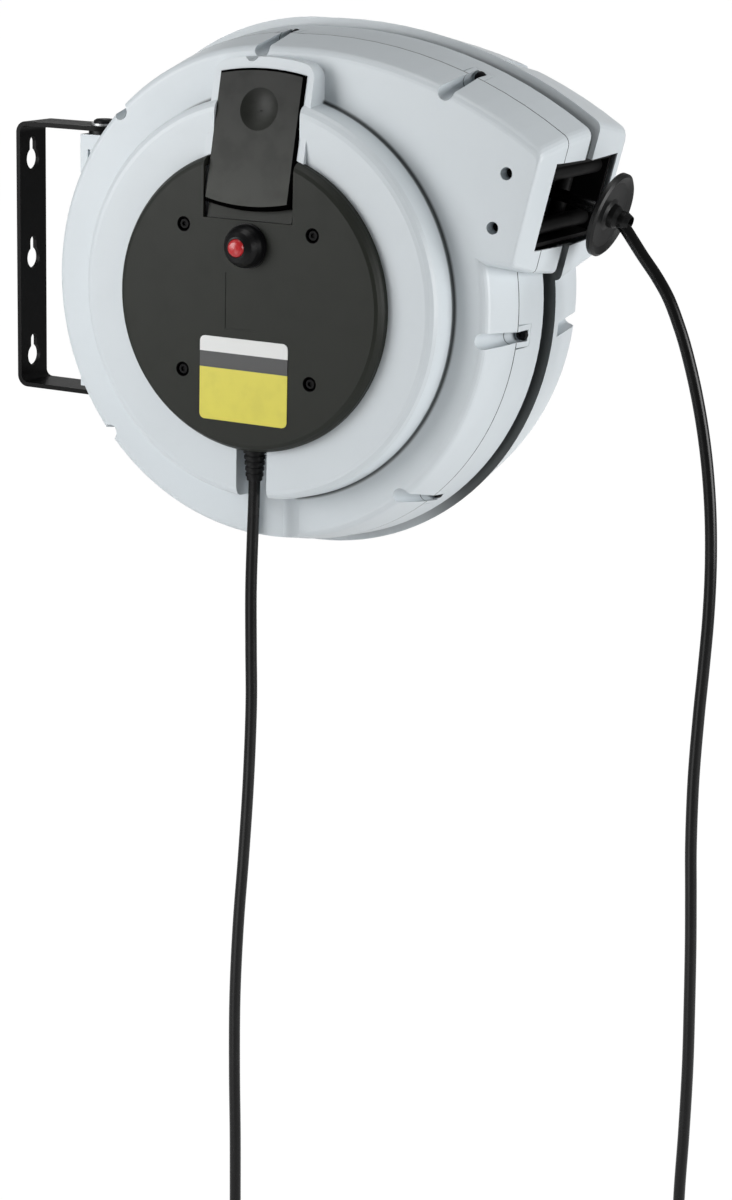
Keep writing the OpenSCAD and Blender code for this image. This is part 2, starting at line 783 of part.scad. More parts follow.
module middle_band() {
    color("#d2d6d9") difference() {
        union() {
            reel() {
                // band, and the spigot that carries the rear shell as the floor of the groove
                difference() {
                    union() {
                        case_solid(band_levels());
                        case_solid(sleeve_levels(spigot_z, lip_z + through, rim_flare - groove_depth));
                    }
                    case_solid(band_cavity());
                }
                // pads that take the flute screws and the rear screws
                intersection() {
                    at_flutes(flute_inset, lip_z + through)
                        cylinder(r = flute_radius + 1, h = flute_floor - lip_z, $fn = small);
                    case_solid(sleeve_levels(lip_z, seam_z, 0.5));
                }
                intersection() {
                    at_flutes(well_inset, column_seat)
                        cylinder(r = column_radius, h = lip_z + 2 - column_seat, $fn = small);
                    case_solid(sleeve_levels(column_seat - through, seam_z, rim_flare - groove_depth - 1));
                }
            }
            difference() {
                lugs(0);
                reel() rim_solid(sleeve_levels(-case_depth, case_depth, -wall));
            }
        }
        reel() {
            at_flutes(flute_inset, flute_floor - clear)
                cylinder(r = flute_radius + wall + clear, h = case_depth, $fn = small);
            at_flutes(flute_inset, flute_seat - rim_screw_length)
                cylinder(r = screw_shank, h = case_depth, $fn = tiny);
            at_flutes(well_inset, column_seat - through)
                cylinder(r = screw_shank, h = rim_screw_length - wall - clear + through, $fn = tiny);
            mouth_opening();
        }
        swivel_pair() {
            translate([0, 0, lug_top - lug_height - through])
                cylinder(r = pivot_bolt / 2 + bush_wall, h = lug_height + 2 * through, $fn = small);
            translate([-2 * lug_slot[0], -lug_width / 2 - through, lug_top - lug_height / 2 - lug_slot[2] / 2])
                cube([lug_slot[0], lug_slot[1] + through, lug_slot[2]]);
        }
        arm_room();
    }
}

module rear_shell() {
    color("#d2d6d9") difference() {
        reel() difference() {
            union() {
                difference() {
                    case_solid(rear_levels(0));
                    case_solid(rear_levels(wall));
                }
                // inner lip round the spigot of the middle band
                difference() {
                    case_solid(sleeve_levels(lip_foot, -lip_z, rear_flare - 0.8 * wall));
                    case_solid(sleeve_levels(lip_foot - through, -lip_z + through,
                        rim_flare - groove_depth + clear));
                }
                // sleeves round the wells of the rear screws
                intersection() {
                    rear_wells(well_radius + wall, back_z, well_floor);
                    case_solid(rear_levels(wall / 2));
                }
                // boss and ribs that carry the axle
                translate([0, 0, back_z + 1]) cylinder(r = back_boss, h = back_boss_top - back_z - 1, $fn = small);
                for (a = [0:45:315]) rotate([0, 0, a])
                    translate([back_boss - 2, -rib / 2, back_z + 1])
                        cube([flange_radius - back_boss - 6, rib, back_boss_top - back_z - 3]);
            }
            translate([0, 0, back_z - through]) cylinder(d = axle_diameter, h = 20, $fn = small);
            rear_wells(well_radius, back_z - through, well_seat);
            at_flutes(well_inset, well_seat - through)
                cylinder(r = screw_shank + 0.2, h = wall + 2 * through, $fn = tiny);
            mouth_opening();
        }
        lugs(clear);
        arm_room();
    }
}

// A round-headed screw, head on top, shank downwards
module screw(length, head) {
    difference() {
        cylinder(r1 = head, r2 = head - 0.8, h = screw_head_height, $fn = tiny);
        translate([0, 0, screw_head_height - screw_recess]) cylinder(r = screw_shank, h = 3, $fn = 6);
    }
    translate([0, 0, -length]) cylinder(r = screw_shank, h = length, $fn = tiny);
}

module flute_screws() {
    color("#3a3d40") reel() at_flutes(flute_inset, flute_seat) screw(rim_screw_length, rim_screw_head);
}

module rear_screws() {
    color("#3a3d40") reel() at_flutes(well_inset, well_seat)
        rotate([180, 0, 0]) screw(rim_screw_length, rim_screw_head);
}

module mouth_screws() {
    color("#3a3d40") reel() for (side = [-1, 1]) mouth()
        translate([screw_boss[0], side * screw_boss[1], mouth_screw_seat - outlet_z])
            screw(rim_screw_length, screw_head);
}

module front_cover() {
    color("#3b3d3a") reel() difference() {
        rotate_extrude($fn = fine) polygon([
            [0, boss_z], [cover_radius, boss_z], [cover_radius, cover_z - cover_edge - 1],
            [cover_radius - 1.2, cover_z - cover_edge + 1.4], [cover_radius - 3, cover_z - 1.2],
            [cover_radius - 5.5, cover_z], [0, cover_z]]);
        difference() {
            translate([0, 0, boss_z - through]) cylinder(r = cover_radius - 2 * cover_wall,
                h = cover_height - cover_wall + through, $fn = fine);
            for (x = [-1, 1]) for (y = [-1, 1])
                translate([x * cover_pitch / 2, y * cover_pitch / 2, boss_z - 2 * through])
                    cylinder(r = cover_post, h = 2 * cover_height, $fn = small);
        }
        for (x = [-1, 1]) for (y = [-1, 1])
            translate([x * cover_pitch / 2, y * cover_pitch / 2, boss_z - through]) {
                cylinder(r = screw_shank + 0.2, h = 2 * cover_height, $fn = tiny);
                translate([0, 0, cover_height - cover_screw_recess + through])
                    cylinder(r = cover_hole, h = 10, $fn = small);
            }
        translate([-cover_notch, cover_notch_foot, boss_z - through])
            cube([2 * cover_notch, 80, 2 * cover_height]);
        translate([0, button_rise, 0]) cylinder(r = button_diameter / 2 + 1.5, h = 2 * cover_z, $fn = small);
        translate([badge_centre[0] - badge_size[0] / 2, badge_centre[1] - badge_size[1] / 2,
            cover_z - badge_depth]) cube([badge_size[0], badge_size[1], 2]);
        translate([0, gland_top + 10, gland_z]) rotate([90, 0, 0])
            cylinder(r = gland_big + 0.3, h = 30, $fn = small);
    }
}

module cover_screws() {
    seat = cover_z - cover_screw_recess;
    color("#17181a") reel() for (x = [-1, 1]) for (y = [-1, 1])
        translate([x * cover_pitch / 2, y * cover_pitch / 2, seat]) screw(seat - support_z + 3, screw_head);
}

module rating_label() {
    color("#e8e8e4") reel() translate([label_centre[0], label_centre[1], cover_z])
        linear_extrude(label_plate) offset(r = label_round) offset(delta = -label_round) intersection() {
            square([label_width, label_height], center = true);
            for (side = [-1, 1])
                translate([0, side * (label_height / 2 - label_arch)]) circle(r = label_arch, $fn = 360);
        }
}

// ---------- reset button ----------

module button_boot() {
    r = boot_diameter / 2;
    hole = button_diameter / 2 + 0.3;
    color("#16171a") reel() translate([0, button_rise, cover_z]) rotate_extrude($fn = small)
        polygon(concat(
            [[hole, 0], [r, 0], [r, 1.5]],
            [for (a = [0:15:60]) [(r - 0.6) * cos(a), 1.5 + r * 0.98 * sin(a)]],
            [[hole, 1.5 + r * 0.98 * sin(60) + 0.4]]));
}

module breaker_body() {
    color("#26282a") reel() translate([0, button_rise, 0]) difference() {
        union() {
            translate([-14, -12, cover_z - cover_wall - 24]) cube([28, 24, 24 - clear]);
            translate([0, 0, cover_z - cover_wall - 1])
                cylinder(r = button_diameter / 2 + 1.2, h = cover_wall + 1, $fn = small);
        }
        translate([0, 0, cover_z - 14]) cylinder(r = button_diameter / 2 + clear, h = 30, $fn = small);
    }
}

module reset_button() {
    r = button_diameter / 2;
    top = cover_z + 1.5 + boot_diameter / 2 * 0.98 * sin(60) + 0.4;
    color("#b3272b") reel() translate([0, button_rise, 0]) rotate_extrude($fn = small)
        polygon([[0, cover_z - 14 + button_travel + clear], [r, cover_z - 14 + button_travel + clear],
            [r, top], [r - 0.6, top + 1.4], [r - 2.2, top + 2.6], [r - 4.5, top + 3.2], [0, top + 3.4]]);
}

// ---------- slider and pawl ----------

module ratchet_slider() {
    dimple = (dimple_diameter * dimple_diameter / 4 + dimple_depth * dimple_depth) / (2 * dimple_depth);
    color("#3b3d3a") reel() {
        slope() difference() {
            translate([0, 0, -slider_plate]) linear_extrude(slider_plate) intersection() {
                translate([-slider_width / 2, 0]) square([slider_width, slider_length]);
                translate([0, slider_length - slider_head_arc]) circle(r = slider_head_arc, $fn = fine);
                translate([0, slider_foot_arc]) circle(r = slider_foot_arc, $fn = fine);
            }
            translate([0, dimple_y, dimple - dimple_depth]) sphere(r = dimple, $fn = fine);
        }
        // peg that works the pawl
        translate([0, peg_y, peg_z])
            cylinder(r = peg_radius, h = slider_foot[1] - (peg_y - slider_foot[0]) * tan(slider_slope)
                - peg_z - slider_plate + 1, $fn = small);
    }
}

module pawl() {
    top = peg_y - peg_radius - clear - pawl_pivot[1];
    color("#9b9da0") reel() translate([pawl_pivot[0], pawl_pivot[1], pawl_z]) difference() {
        linear_extrude(pawl_thick) union() {
            circle(r = 7, $fn = small);
            polygon([[0, top], [-34, top], [-34, -5], [-32, -6.6], [-28.5, -6.6], [-26, -3.9],
                [-10, -4.5], [0, -7]]);
        }
        translate([0, 0, -through])
            cylinder(r = pawl_pin_radius + pawl_play, h = pawl_thick + 2 * through, $fn = small);
        // flat that keeps the round end clear of the peg
        translate([-34, top, -through]) cube([30, 10, pawl_thick + 2 * through]);
    }
}

module pawl_pin() {
    color("#8d8f91") reel() translate([pawl_pivot[0], pawl_pivot[1], pawl_z - 0.8])
        cylinder(r = pawl_pin_radius, h = front_z - wall - pawl_z + 0.8, $fn = small);
}

// ---------- axle and electrical parts ----------

module drum_axle() {
    color("#8d8f91") reel() difference() {
        translate([0, 0, axle_back]) cylinder(d = axle_diameter, h = axle_front - axle_back, $fn = small);
        translate([0, 0, axle_front - 40]) cylinder(r = 6, h = 60, $fn = small);
    }
}

module axle_nut() {
    color("#8d8f91") reel() translate([0, 0, back_z - washer_height - nut_height]) difference() {
        cylinder(r = axle_diameter / 2 + 7, h = nut_height, $fn = 6);
        translate([0, 0, -through]) cylinder(d = axle_diameter, h = nut_height + 2 * through, $fn = small);
    }
}

module axle_washer() {
    color("#a5a7a9") reel() translate([0, 0, back_z - washer_height]) difference() {
        cylinder(r = axle_diameter / 2 + 9, h = washer_height, $fn = small);
        translate([0, 0, -through])
            cylinder(d = axle_diameter, h = washer_height + 2 * through, $fn = small);
    }
}

module axle_support() {
    color("#8a8d90") reel() difference() {
        union() {
            translate([0, 0, support_z - support_plate - support_collar])
                cylinder(r = support_hub, h = support_plate + support_collar, $fn = small);
            for (a = [45:90:315]) rotate([0, 0, a]) {
                translate([support_hub - 4, -support_arm / 2, support_z - support_plate])
                    cube([cover_pitch / sqrt(2) - support_hub + 4, support_arm, support_plate]);
                translate([cover_pitch / sqrt(2), 0, support_z - support_plate])
                    cylinder(r = support_arm / 2, h = support_plate, $fn = small);
            }
        }
        translate([0, 0, support_z - 20]) cylinder(d = axle_diameter, h = 40, $fn = small);
        for (x = [-1, 1]) for (y = [-1, 1])
            translate([x * cover_pitch / 2, y * cover_pitch / 2, support_z - 20])
                cylinder(r = screw_shank, h = 40, $fn = tiny);
    }
}

module brush_holder() {
    top = support_z - support_plate;
    color("#2b2d30") reel() rotate([0, 0, 225]) difference() {
        translate([ring_radius + 3, -7, ring_first - 3]) cube([22, 14, top - ring_first + 3]);
        for (i = [0:ring_count - 1])
            translate([ring_radius, -3, ring_first + i * ring_pitch - 0.2]) cube([16, 6, ring_width + 0.4]);
    }
}

module brushes() {
    color("#1d1d1f") reel() rotate([0, 0, 225]) for (i = [0:ring_count - 1])
        translate([ring_radius + clear, -2.9, ring_first + i * ring_pitch]) cube([14, 5.8, ring_width]);
}

module terminal_block() {
    top = support_z - support_plate;
    color("#d9d4c4") reel() rotate([0, 0, 315]) translate([40, -9, top - 16]) difference() {
        cube([32, 18, 16]);
        for (i = [0:2]) translate([6 + i * 10, 9, -through]) cylinder(r = 2.4, h = 12, $fn = tiny);
        for (i = [0:2]) translate([6 + i * 10, -through, 5]) rotate([-90, 0, 0])
            cylinder(r = 2, h = 30, $fn = tiny);
    }
}

// ---------- drum ----------

module drum_front_flange() {
    color("#4a4d50") reel() difference() {
        translate([0, 0, flange_front]) cylinder(r = flange_radius, h = flange_plate, $fn = fine);
        translate([0, 0, flange_front - through])
            cylinder(r = bush_radius, h = flange_plate + 2 * through, $fn = small);
        for (a = [30:60:330]) polar(68, a)
            translate([0, 0, flange_front - through]) cylinder(r = 15, h = 3 * through + flange_plate, $fn = small);
    }
}

module drum_rear_flange() {
    color("#4a4d50") reel() difference() {
        union() {
            translate([0, 0, flange_rear - flange_plate]) cylinder(r = flange_radius, h = flange_plate, $fn = fine);
            translate([0, 0, flange_rear - flange_plate]) cylinder(r = bush_radius + 4, h = 9, $fn = small);
        }
        translate([0, 0, flange_rear - 20]) cylinder(r = bush_radius, h = 40, $fn = small);
    }
}

module drum_hub() {
    color("#4a4d50") reel() difference() {
        translate([0, 0, flange_rear]) cylinder(r = hub_radius, h = drum_width, $fn = fine);
        translate([0, 0, flange_rear - through])
            cylinder(r = hub_radius - hub_wall, h = drum_width + 2 * through, $fn = fine);
    }
}

module bush(z, length) {
    translate([0, 0, z]) difference() {
        cylinder(r = bush_radius, h = length, $fn = small);
        translate([0, 0, -through])
            cylinder(r = axle_diameter / 2 + axle_play, h = length + 2 * through, $fn = small);
    }
}

module drum_bushes() {
    color("#ded9cc") reel() {
        bush(flange_front - 8, 8 + flange_plate);
        bush(flange_rear - flange_plate, 9);
    }
}

module ratchet_ring() {
    pitch = 360 / ratchet_teeth;
    root = ratchet_radius - tooth_depth;
    color("#9b9da0") reel() translate([0, 0, ratchet_z]) linear_extrude(ratchet_thick) difference() {
        polygon([for (i = [0:ratchet_teeth - 1]) for (p = [
                [root, 0], [root, 0.52], [ratchet_radius, 0.64], [ratchet_radius, 0.88]])
            polar_point(p[0], 90 + (i + p[1] - 0.14) * pitch)]);
        circle(r = root - ratchet_band, $fn = fine);
    }
}

module slip_ring_carrier() {
    foot = ratchet_z;
    top = ring_first + ring_count * ring_pitch;
    color("#ded9cc") reel() difference() {
        translate([0, 0, foot]) cylinder(r = carrier_radius, h = top - foot, $fn = small);
        translate([0, 0, foot - through])
            cylinder(r = axle_diameter / 2 + 1.5, h = top - foot + 2 * through, $fn = small);
    }
}

module slip_rings() {
    color("#c59a4a") reel() for (i = [0:ring_count - 1])
        translate([0, 0, ring_first + i * ring_pitch]) difference() {
            cylinder(r = ring_radius, h = ring_width, $fn = small);
            translate([0, 0, -through]) cylinder(r = carrier_radius, h = ring_width + 2 * through, $fn = small);
        }
}

module spring_cassette() {
    depth = cassette_front - cassette_rear;
    color("#6d7073") reel() translate([0, 0, cassette_rear]) difference() {
        cylinder(r = cassette_radius, h = depth, $fn = fine);
        translate([0, 0, cassette_wall])
            cylinder(r = cassette_radius - cassette_wall, h = depth - 2 * cassette_wall, $fn = fine);
        translate([0, 0, -through]) cylinder(r = arbor_radius + 2, h = depth + 2 * through, $fn = small);
    }
}

module spring_arbor() {
    color("#8d8f91") reel() translate([0, 0, flange_rear + 7]) difference() {
        cylinder(r = arbor_radius, h = cassette_front - flange_rear - 7, $fn = small);
        translate([0, 0, -through]) cylinder(d = axle_diameter, h = drum_width, $fn = small);
    }
}

module mainspring() {
    steps = spring_turns * spring_steps;
    function radius(i) = spring_inner + (spring_outer - spring_inner) * i / steps;
    height = cassette_front - cassette_rear - 2 * cassette_wall - 2;
    color("#5b6470") reel() translate([0, 0, cassette_rear + cassette_wall + 1]) {
        linear_extrude(height) polygon(concat(
            [for (i = [0:steps]) polar_point(radius(i), i * 360 / spring_steps)],
            [for (i = [steps:-1:0]) polar_point(radius(i) + spring_strip, i * 360 / spring_steps)]));
        // riveted end of the strip on the cassette wall
        translate([spring_outer - 1, -6, 0]) cube([cassette_radius - cassette_wall - spring_outer + 0.9, 12, height]);
    }
}

module wound_cable_core() {
    outer = winding_radius * cos(180 / winding_rings) - cord_diameter / 2 / cos(90 / winding_sides) - clear;
    color("#1b1b1c") reel() translate([0, 0, flange_rear]) difference() {
        cylinder(r = outer, h = drum_width, $fn = fine);
        translate([0, 0, -through]) cylinder(r = hub_radius, h = drum_width + 2 * through, $fn = fine);
    }
}

// Ring of a round tube at a point, square to a direction
function tube_ring(p, dir, radius, sides) =
    let (d = dir / norm(dir))
    let (guide = abs(d[2]) > 0.9 ? [0, 1, 0] : [0, 0, 1])
    let (u = cross(guide, d) / norm(cross(guide, d)))
    let (v = cross(d, u))
    [for (k = [0:sides - 1])
        p + radius / cos(90 / sides) * (cos(k * 360 / sides) * u + sin(k * 360 / sides) * v)];

function route_direction(route, i) =
    i == 0 ? route[1] - route[0]
    : i == len(route) - 1 ? route[i] - route[i - 1]
    : (route[i + 1] - route[i]) / norm(route[i + 1] - route[i])
        + (route[i] - route[i - 1]) / norm(route[i] - route[i - 1]);

module tube(route, diameter, sides) {
    loft([for (i = [0:len(route) - 1])
        tube_ring(route[i], route_direction(route, i), diameter / 2, sides)]);
}

function winding_pitch() = (drum_width - 2 * cord_diameter) / winding_turns;
function winding_point(i) =
    let (a = winding_start - i * 360 / winding_rings)
    [winding_radius * cos(a), winding_radius * sin(a),
     flange_rear + cord_diameter + winding_pitch() * i / winding_rings];
winding_last = winding_turns * winding_rings;
winding_route = concat(
    [winding_point(0) - cord_diameter * [cos(winding_start - 90), sin(winding_start - 90), 0]],
    [for (i = [0:winding_last]) winding_point(i)],
    [winding_point(winding_last) + cord_diameter * [cos(winding_start - 90), sin(winding_start - 90), 0]]);
winding_gap = min([for (i = [0:winding_last - winding_rings])
    norm(winding_point(i + winding_rings) - winding_point(i))]) - cord_diameter / cos(90 / winding_sides);
echo(winding_gap = winding_gap);

module wound_cable() {
    color("#1b1b1c") reel() tube(winding_route, cord_diameter, winding_sides);
}

// ---------- mouth rollers ----------

module roller_frame() {
    depth = frame_front - frame_back;
    color("#1a1b1d") reel() mouth() difference() {
        union() {
            translate([frame_back, -frame_half_height, -frame_half_width])
                cube([depth, 2 * frame_half_height, 2 * frame_half_width]);
            for (side = [-1, 1])
                translate([screw_boss[0], side * screw_boss[1], frame_half_width - through])
                    cylinder(r = 5, h = mouth_screw_seat - wall - clear - outlet_z - frame_half_width + through,
                        $fn = small);
        }
        translate([frame_back - through, frame_wall - frame_half_height, frame_wall - frame_half_width])
            cube([depth + 2 * through, 2 * (frame_half_height - frame_wall), 2 * (frame_half_width - frame_wall)]);
        for (side = [-1, 1]) {
            translate([long_roller[0], side * long_roller[1], -frame_half_width - through])
                cylinder(d = roller_pin, h = 3 * frame_half_width, $fn = tiny);
            translate([short_roller[0], -frame_half_height - through, side * short_roller[1]])
                rotate([-90, 0, 0]) cylinder(d = roller_pin, h = 3 * frame_half_height, $fn = tiny);
            translate([screw_boss[0], side * screw_boss[1], frame_half_width + through])
                cylinder(r = screw_shank, h = 30, $fn = tiny);
        }
    }
}

module roller_pins() {
    color("#a5a7a9") reel() mouth() for (side = [-1, 1]) {
        translate([long_roller[0], side * long_roller[1], 0])
            cylinder(d = roller_pin, h = 2 * frame_half_width, center = true, $fn = small);
        translate([short_roller[0], 0, side * short_roller[1]]) rotate([90, 0, 0])
            cylinder(d = roller_pin, h = 2 * frame_half_height, center = true, $fn = small);
    }
}

module roller(length) {
    difference() {
        cylinder(d = roller_diameter, h = length, center = true, $fn = small);
        cylinder(r = roller_pin / 2 + roller_play, h = length + 2 * through, center = true, $fn = small);
    }
}

module long_roller_at(side) {
    color("#e2e0da") reel() mouth() translate([long_roller[0], side * long_roller[1], 0])
        roller(2 * (frame_half_width - frame_wall - 0.6));
}

module short_roller_at(side) {
    color("#e2e0da") reel() mouth() translate([short_roller[0], 0, side * short_roller[1]])
        rotate([90, 0, 0]) roller(2 * (frame_half_height - frame_wall - 0.6));
}

module top_roller() {
    long_roller_at(1);
}

module bottom_roller() {
    long_roller_at(-1);
}

module front_roller() {
    short_roller_at(1);
}

module rear_roller() {
    short_roller_at(-1);
}

// ---------- cords ----------

module supply_gland() {
    color("#141415") reel() translate([0, gland_top, gland_z]) rotate([90, 0, 0]) difference() {
        union() {
            translate([0, 0, -4]) cylinder(r = gland_flange, h = 4 - 0.2, $fn = small);
            translate([0, 0, -2]) cylinder(r1 = gland_big, r2 = gland_small, h = gland_length + 2, $fn = small);
            for (i = [0:gland_ribs - 1])
                translate([0, 0, 7 + i * 4.4]) cylinder(
                    r = gland_big + 0.5 - i * (gland_big - gland_small) / gland_ribs, h = 2.2, $fn = small);
        }
        translate([0, 0, -10]) cylinder(d = cord_diameter - 2, h = 10 + gland_length - 1, $fn = small);
    }
}

module supply_cord() {
    color("#1b1b1c") reel() tube(supply_route, cord_diameter, cord_sides);
}

module supply_plug() {
    end = supply_route[len(supply_route) - 1];
    color("#1b1b1c") reel() translate(end) rotate([90, 0, 0]) {
        cylinder(r1 = 7, r2 = 10, h = 22, $fn = small);
        translate([0, 0, 22]) cylinder(r1 = 12, r2 = 19, h = 14, $fn = small);
        translate([0, 0, 36]) cylinder(r = 19, h = 14, $fn = small);
    }
}

module plug_pins() {
    end = supply_route[len(supply_route) - 1];
    color("#b9bcbf") reel() translate(end) rotate([90, 0, 0]) for (side = [-1, 1])
        translate([side * 9.5, 0, 50]) {
            cylinder(d = 4.8, h = 17, $fn = tiny);
            translate([0, 0, 17]) cylinder(r1 = 2.4, r2 = 1.2, h = 2, $fn = tiny);
        }
}

module cable_stop() {
    hole = cord_diameter / 2 + 0.4;
    r = stop_diameter / 2;
    color("#2a2b29") reel() mouth() translate([stop_out, -1, 0]) rotate([0, 0, -stop_tilt])
        rotate([0, 90, 0]) rotate_extrude($fn = small) polygon([
            [hole, -4], [9, -4], [r - 6, -2], [r, 1], [r, 4], [r - 2, 5.4], [r - 7, 3], [12, 2.4],
            [9, 4], [8.4, 8], [hub_ball + 0.6, 11], [hub_ball + 0.8, 15], [hub_ball - 0.6, 18.6],
            [hole, 19.6]]);
}

module outlet_cord() {
    color("#1b1b1c") reel() tube(concat(inner_route, outlet_route), cord_diameter, cord_sides);
}

module trailing_socket() {
    end = outlet_route[len(outlet_route) - 1];
    color("#1b1b1c") reel() translate(end) rotate([90, 0, 0]) difference() {
        union() {
            cylinder(r1 = 7, r2 = 11, h = 24, $fn = small);
            translate([0, 0, 24]) cylinder(r1 = 14, r2 = 20, h = 12, $fn = small);
            translate([0, 0, 36]) cylinder(r = 20, h = 34, $fn = small);
            translate([0, 0, 64]) cylinder(r = 22, h = 6, $fn = small);
        }
        translate([0, 0, 53]) cylinder(r = 17.5, h = 30, $fn = small);
        for (side = [-1, 1]) translate([side * 9.5, 0, 40]) cylinder(d = 5.4, h = 40, $fn = tiny);
    }
}

wall_bracket();
pivot_bolts();
pivot_washers();
pivot_bushes();
front_shell();
middle_band();
rear_shell();
front_cover();
cover_screws();
flute_screws();
rear_screws();
mouth_screws();
rating_label();
button_boot();
breaker_body();
reset_button();
ratchet_slider();
pawl();
pawl_pin();
drum_axle();
axle_nut();
axle_washer();
axle_support();
brush_holder();
brushes();
terminal_block();
drum_front_flange();
drum_rear_flange();
drum_hub();
drum_bushes();
ratchet_ring();
slip_ring_carrier();
slip_rings();
spring_cassette();
spring_arbor();
mainspring();
wound_cable_core();
wound_cable();
roller_frame();
roller_pins();
top_roller();
bottom_roller();
front_roller();
rear_roller();
supply_gland();
supply_cord();
supply_plug();
plug_pins();
cable_stop();
outlet_cord();
trailing_socket();
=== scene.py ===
"""Studio scene of a wall-mounted cable reel with a sprung drum and a roller mouth.

The part stands in its own frame, in metres: X across, Y backwards and Z up. Only the routes
of the leads are in millimetres, measured from the drum axis and the middle of the case.
"""

from __future__ import annotations

import logging
import math
from dataclasses import dataclass, field
from enum import Enum
from typing import Any, Sequence, Union

import bpy
from mathutils import Matrix, Vector

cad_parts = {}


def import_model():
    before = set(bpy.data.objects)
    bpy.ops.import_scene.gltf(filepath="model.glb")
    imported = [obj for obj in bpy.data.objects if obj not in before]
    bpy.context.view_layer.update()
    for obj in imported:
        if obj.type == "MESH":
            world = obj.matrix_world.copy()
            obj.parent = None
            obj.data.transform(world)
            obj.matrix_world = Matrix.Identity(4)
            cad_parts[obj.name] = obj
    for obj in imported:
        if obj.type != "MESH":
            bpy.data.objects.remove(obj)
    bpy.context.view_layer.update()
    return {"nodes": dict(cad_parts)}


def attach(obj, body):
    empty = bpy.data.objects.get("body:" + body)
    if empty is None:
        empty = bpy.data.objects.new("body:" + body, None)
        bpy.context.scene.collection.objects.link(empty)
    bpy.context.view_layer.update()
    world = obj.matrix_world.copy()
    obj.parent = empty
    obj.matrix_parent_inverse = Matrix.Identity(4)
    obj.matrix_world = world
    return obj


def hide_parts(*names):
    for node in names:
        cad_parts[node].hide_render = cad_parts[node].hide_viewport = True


LOG = logging.getLogger("reel")

# Place of the drum axis in the part: its reach from the wall and its rise above the origin
AXIS_REACH = 0.267
AXIS_RISE = 0.0017

# How many make a metre
MILLIMETRES = 1000

Point = tuple[float, float, float]
Colour = tuple[float, float, float]
Range = tuple[float, float]
Slot = Union[int, str]


class Body(Enum):
    """The moving bodies of the reel that a new piece rides on."""

    CASE = "case"
    DRUM = "drum"


class FarEnd(Enum):
    """What a lead ends in."""

    PLUG = "plug"
    SOCKET = "connector"


class Axis(Enum):
    """The directions of the part."""

    ACROSS = 0
    BACK = 1
    UP = 2


class Side(Enum):
    """The two sides of the slider, as a sign along the part's width."""

    LEFT = -1
    RIGHT = 1


class Wall(Enum):
    """The two walls of the groove round the case."""

    FRONT = "front"
    REAR = "rear"


class Ray(Enum):
    """Kinds of rays that a surface or the world can tell apart."""

    CAMERA = "Is Camera Ray"
    GLOSSY = "Is Glossy Ray"
    TRANSMISSION = "Is Transmission Ray"


def reel_point(across: float, up: float, forward: float) -> Vector:
    """Turn millimetres measured from the drum axis into a point of the part.

    Args:
        across: distance to the right of the drum axis.
        up: distance above the drum axis.
        forward: distance in front of the middle of the case.

    Returns:
        The point in metres, in the frame of the part.
    """
    return Vector((
        AXIS_REACH + across / MILLIMETRES,
        -forward / MILLIMETRES,
        AXIS_RISE + up / MILLIMETRES,
    ))


def smooth_route(points: Sequence[Vector], steps: int = 6) -> list[Vector]:
    """Run one smooth curve through the points of a route.

    Args:
        points: the points in order.
        steps: how many pieces each stretch is cut into.

    Returns:
        The points of the curve, the given ones among them.
    """
    out: list[Vector] = []
    last = len(points) - 1
    for i in range(last):
        a = points[max(i - 1, 0)]
        b, c = points[i], points[i + 1]
        d = points[min(i + 2, last)]
        for k in range(steps):
            t = k / steps
            out.append(
                0.5 * (2 * b + (c - a) * t + (2 * a - 5 * b + 4 * c - d) * t ** 2
                       + (3 * b - a - 3 * c + d) * t ** 3)
            )
    out.append(points[last])
    return out


def route_length(points: Sequence[Vector]) -> float:
    """Add up the stretches of a route."""
    return sum((b - a).length for a, b in zip(points, points[1:]))


def tinted(colour: Colour, gain: float, lift: float = 0.0) -> Colour:
    """Make a colour stronger or weaker.

    Args:
        colour: the colour to start from.
        gain: what each channel is multiplied by.
        lift: what is then added to it.

    Returns:
        The new colour.
    """
    return tuple(min(1.0, channel * gain + lift) for channel in colour)


def pick(piece: bpy.types.Object) -> None:
    """Select one object alone and make it the active one."""
    bpy.ops.object.select_all(action="DESELECT")
    piece.select_set(True)
    bpy.context.view_layer.objects.active = piece


def settle(piece: bpy.types.Object, place: Matrix) -> None:
    """Move a mesh to its place and leave its object at the origin.

    Args:
        piece: the object, with its mesh modelled at the origin.
        place: the place of the mesh in the part.
    """
    pick(piece)
    piece.matrix_world = place
    bpy.ops.object.transform_apply(location=True, rotation=True, scale=True)


# ---------------------------------------------------------------- nodes

# Sockets of the Mix node, which holds some names more than once
MIX_FACTOR = 0
MIX_FIRST_NUMBER = 2
MIX_SECOND_NUMBER = 3
MIX_FIRST_COLOUR = 6
MIX_SECOND_COLOUR = 7
MIX_COLOUR = 2


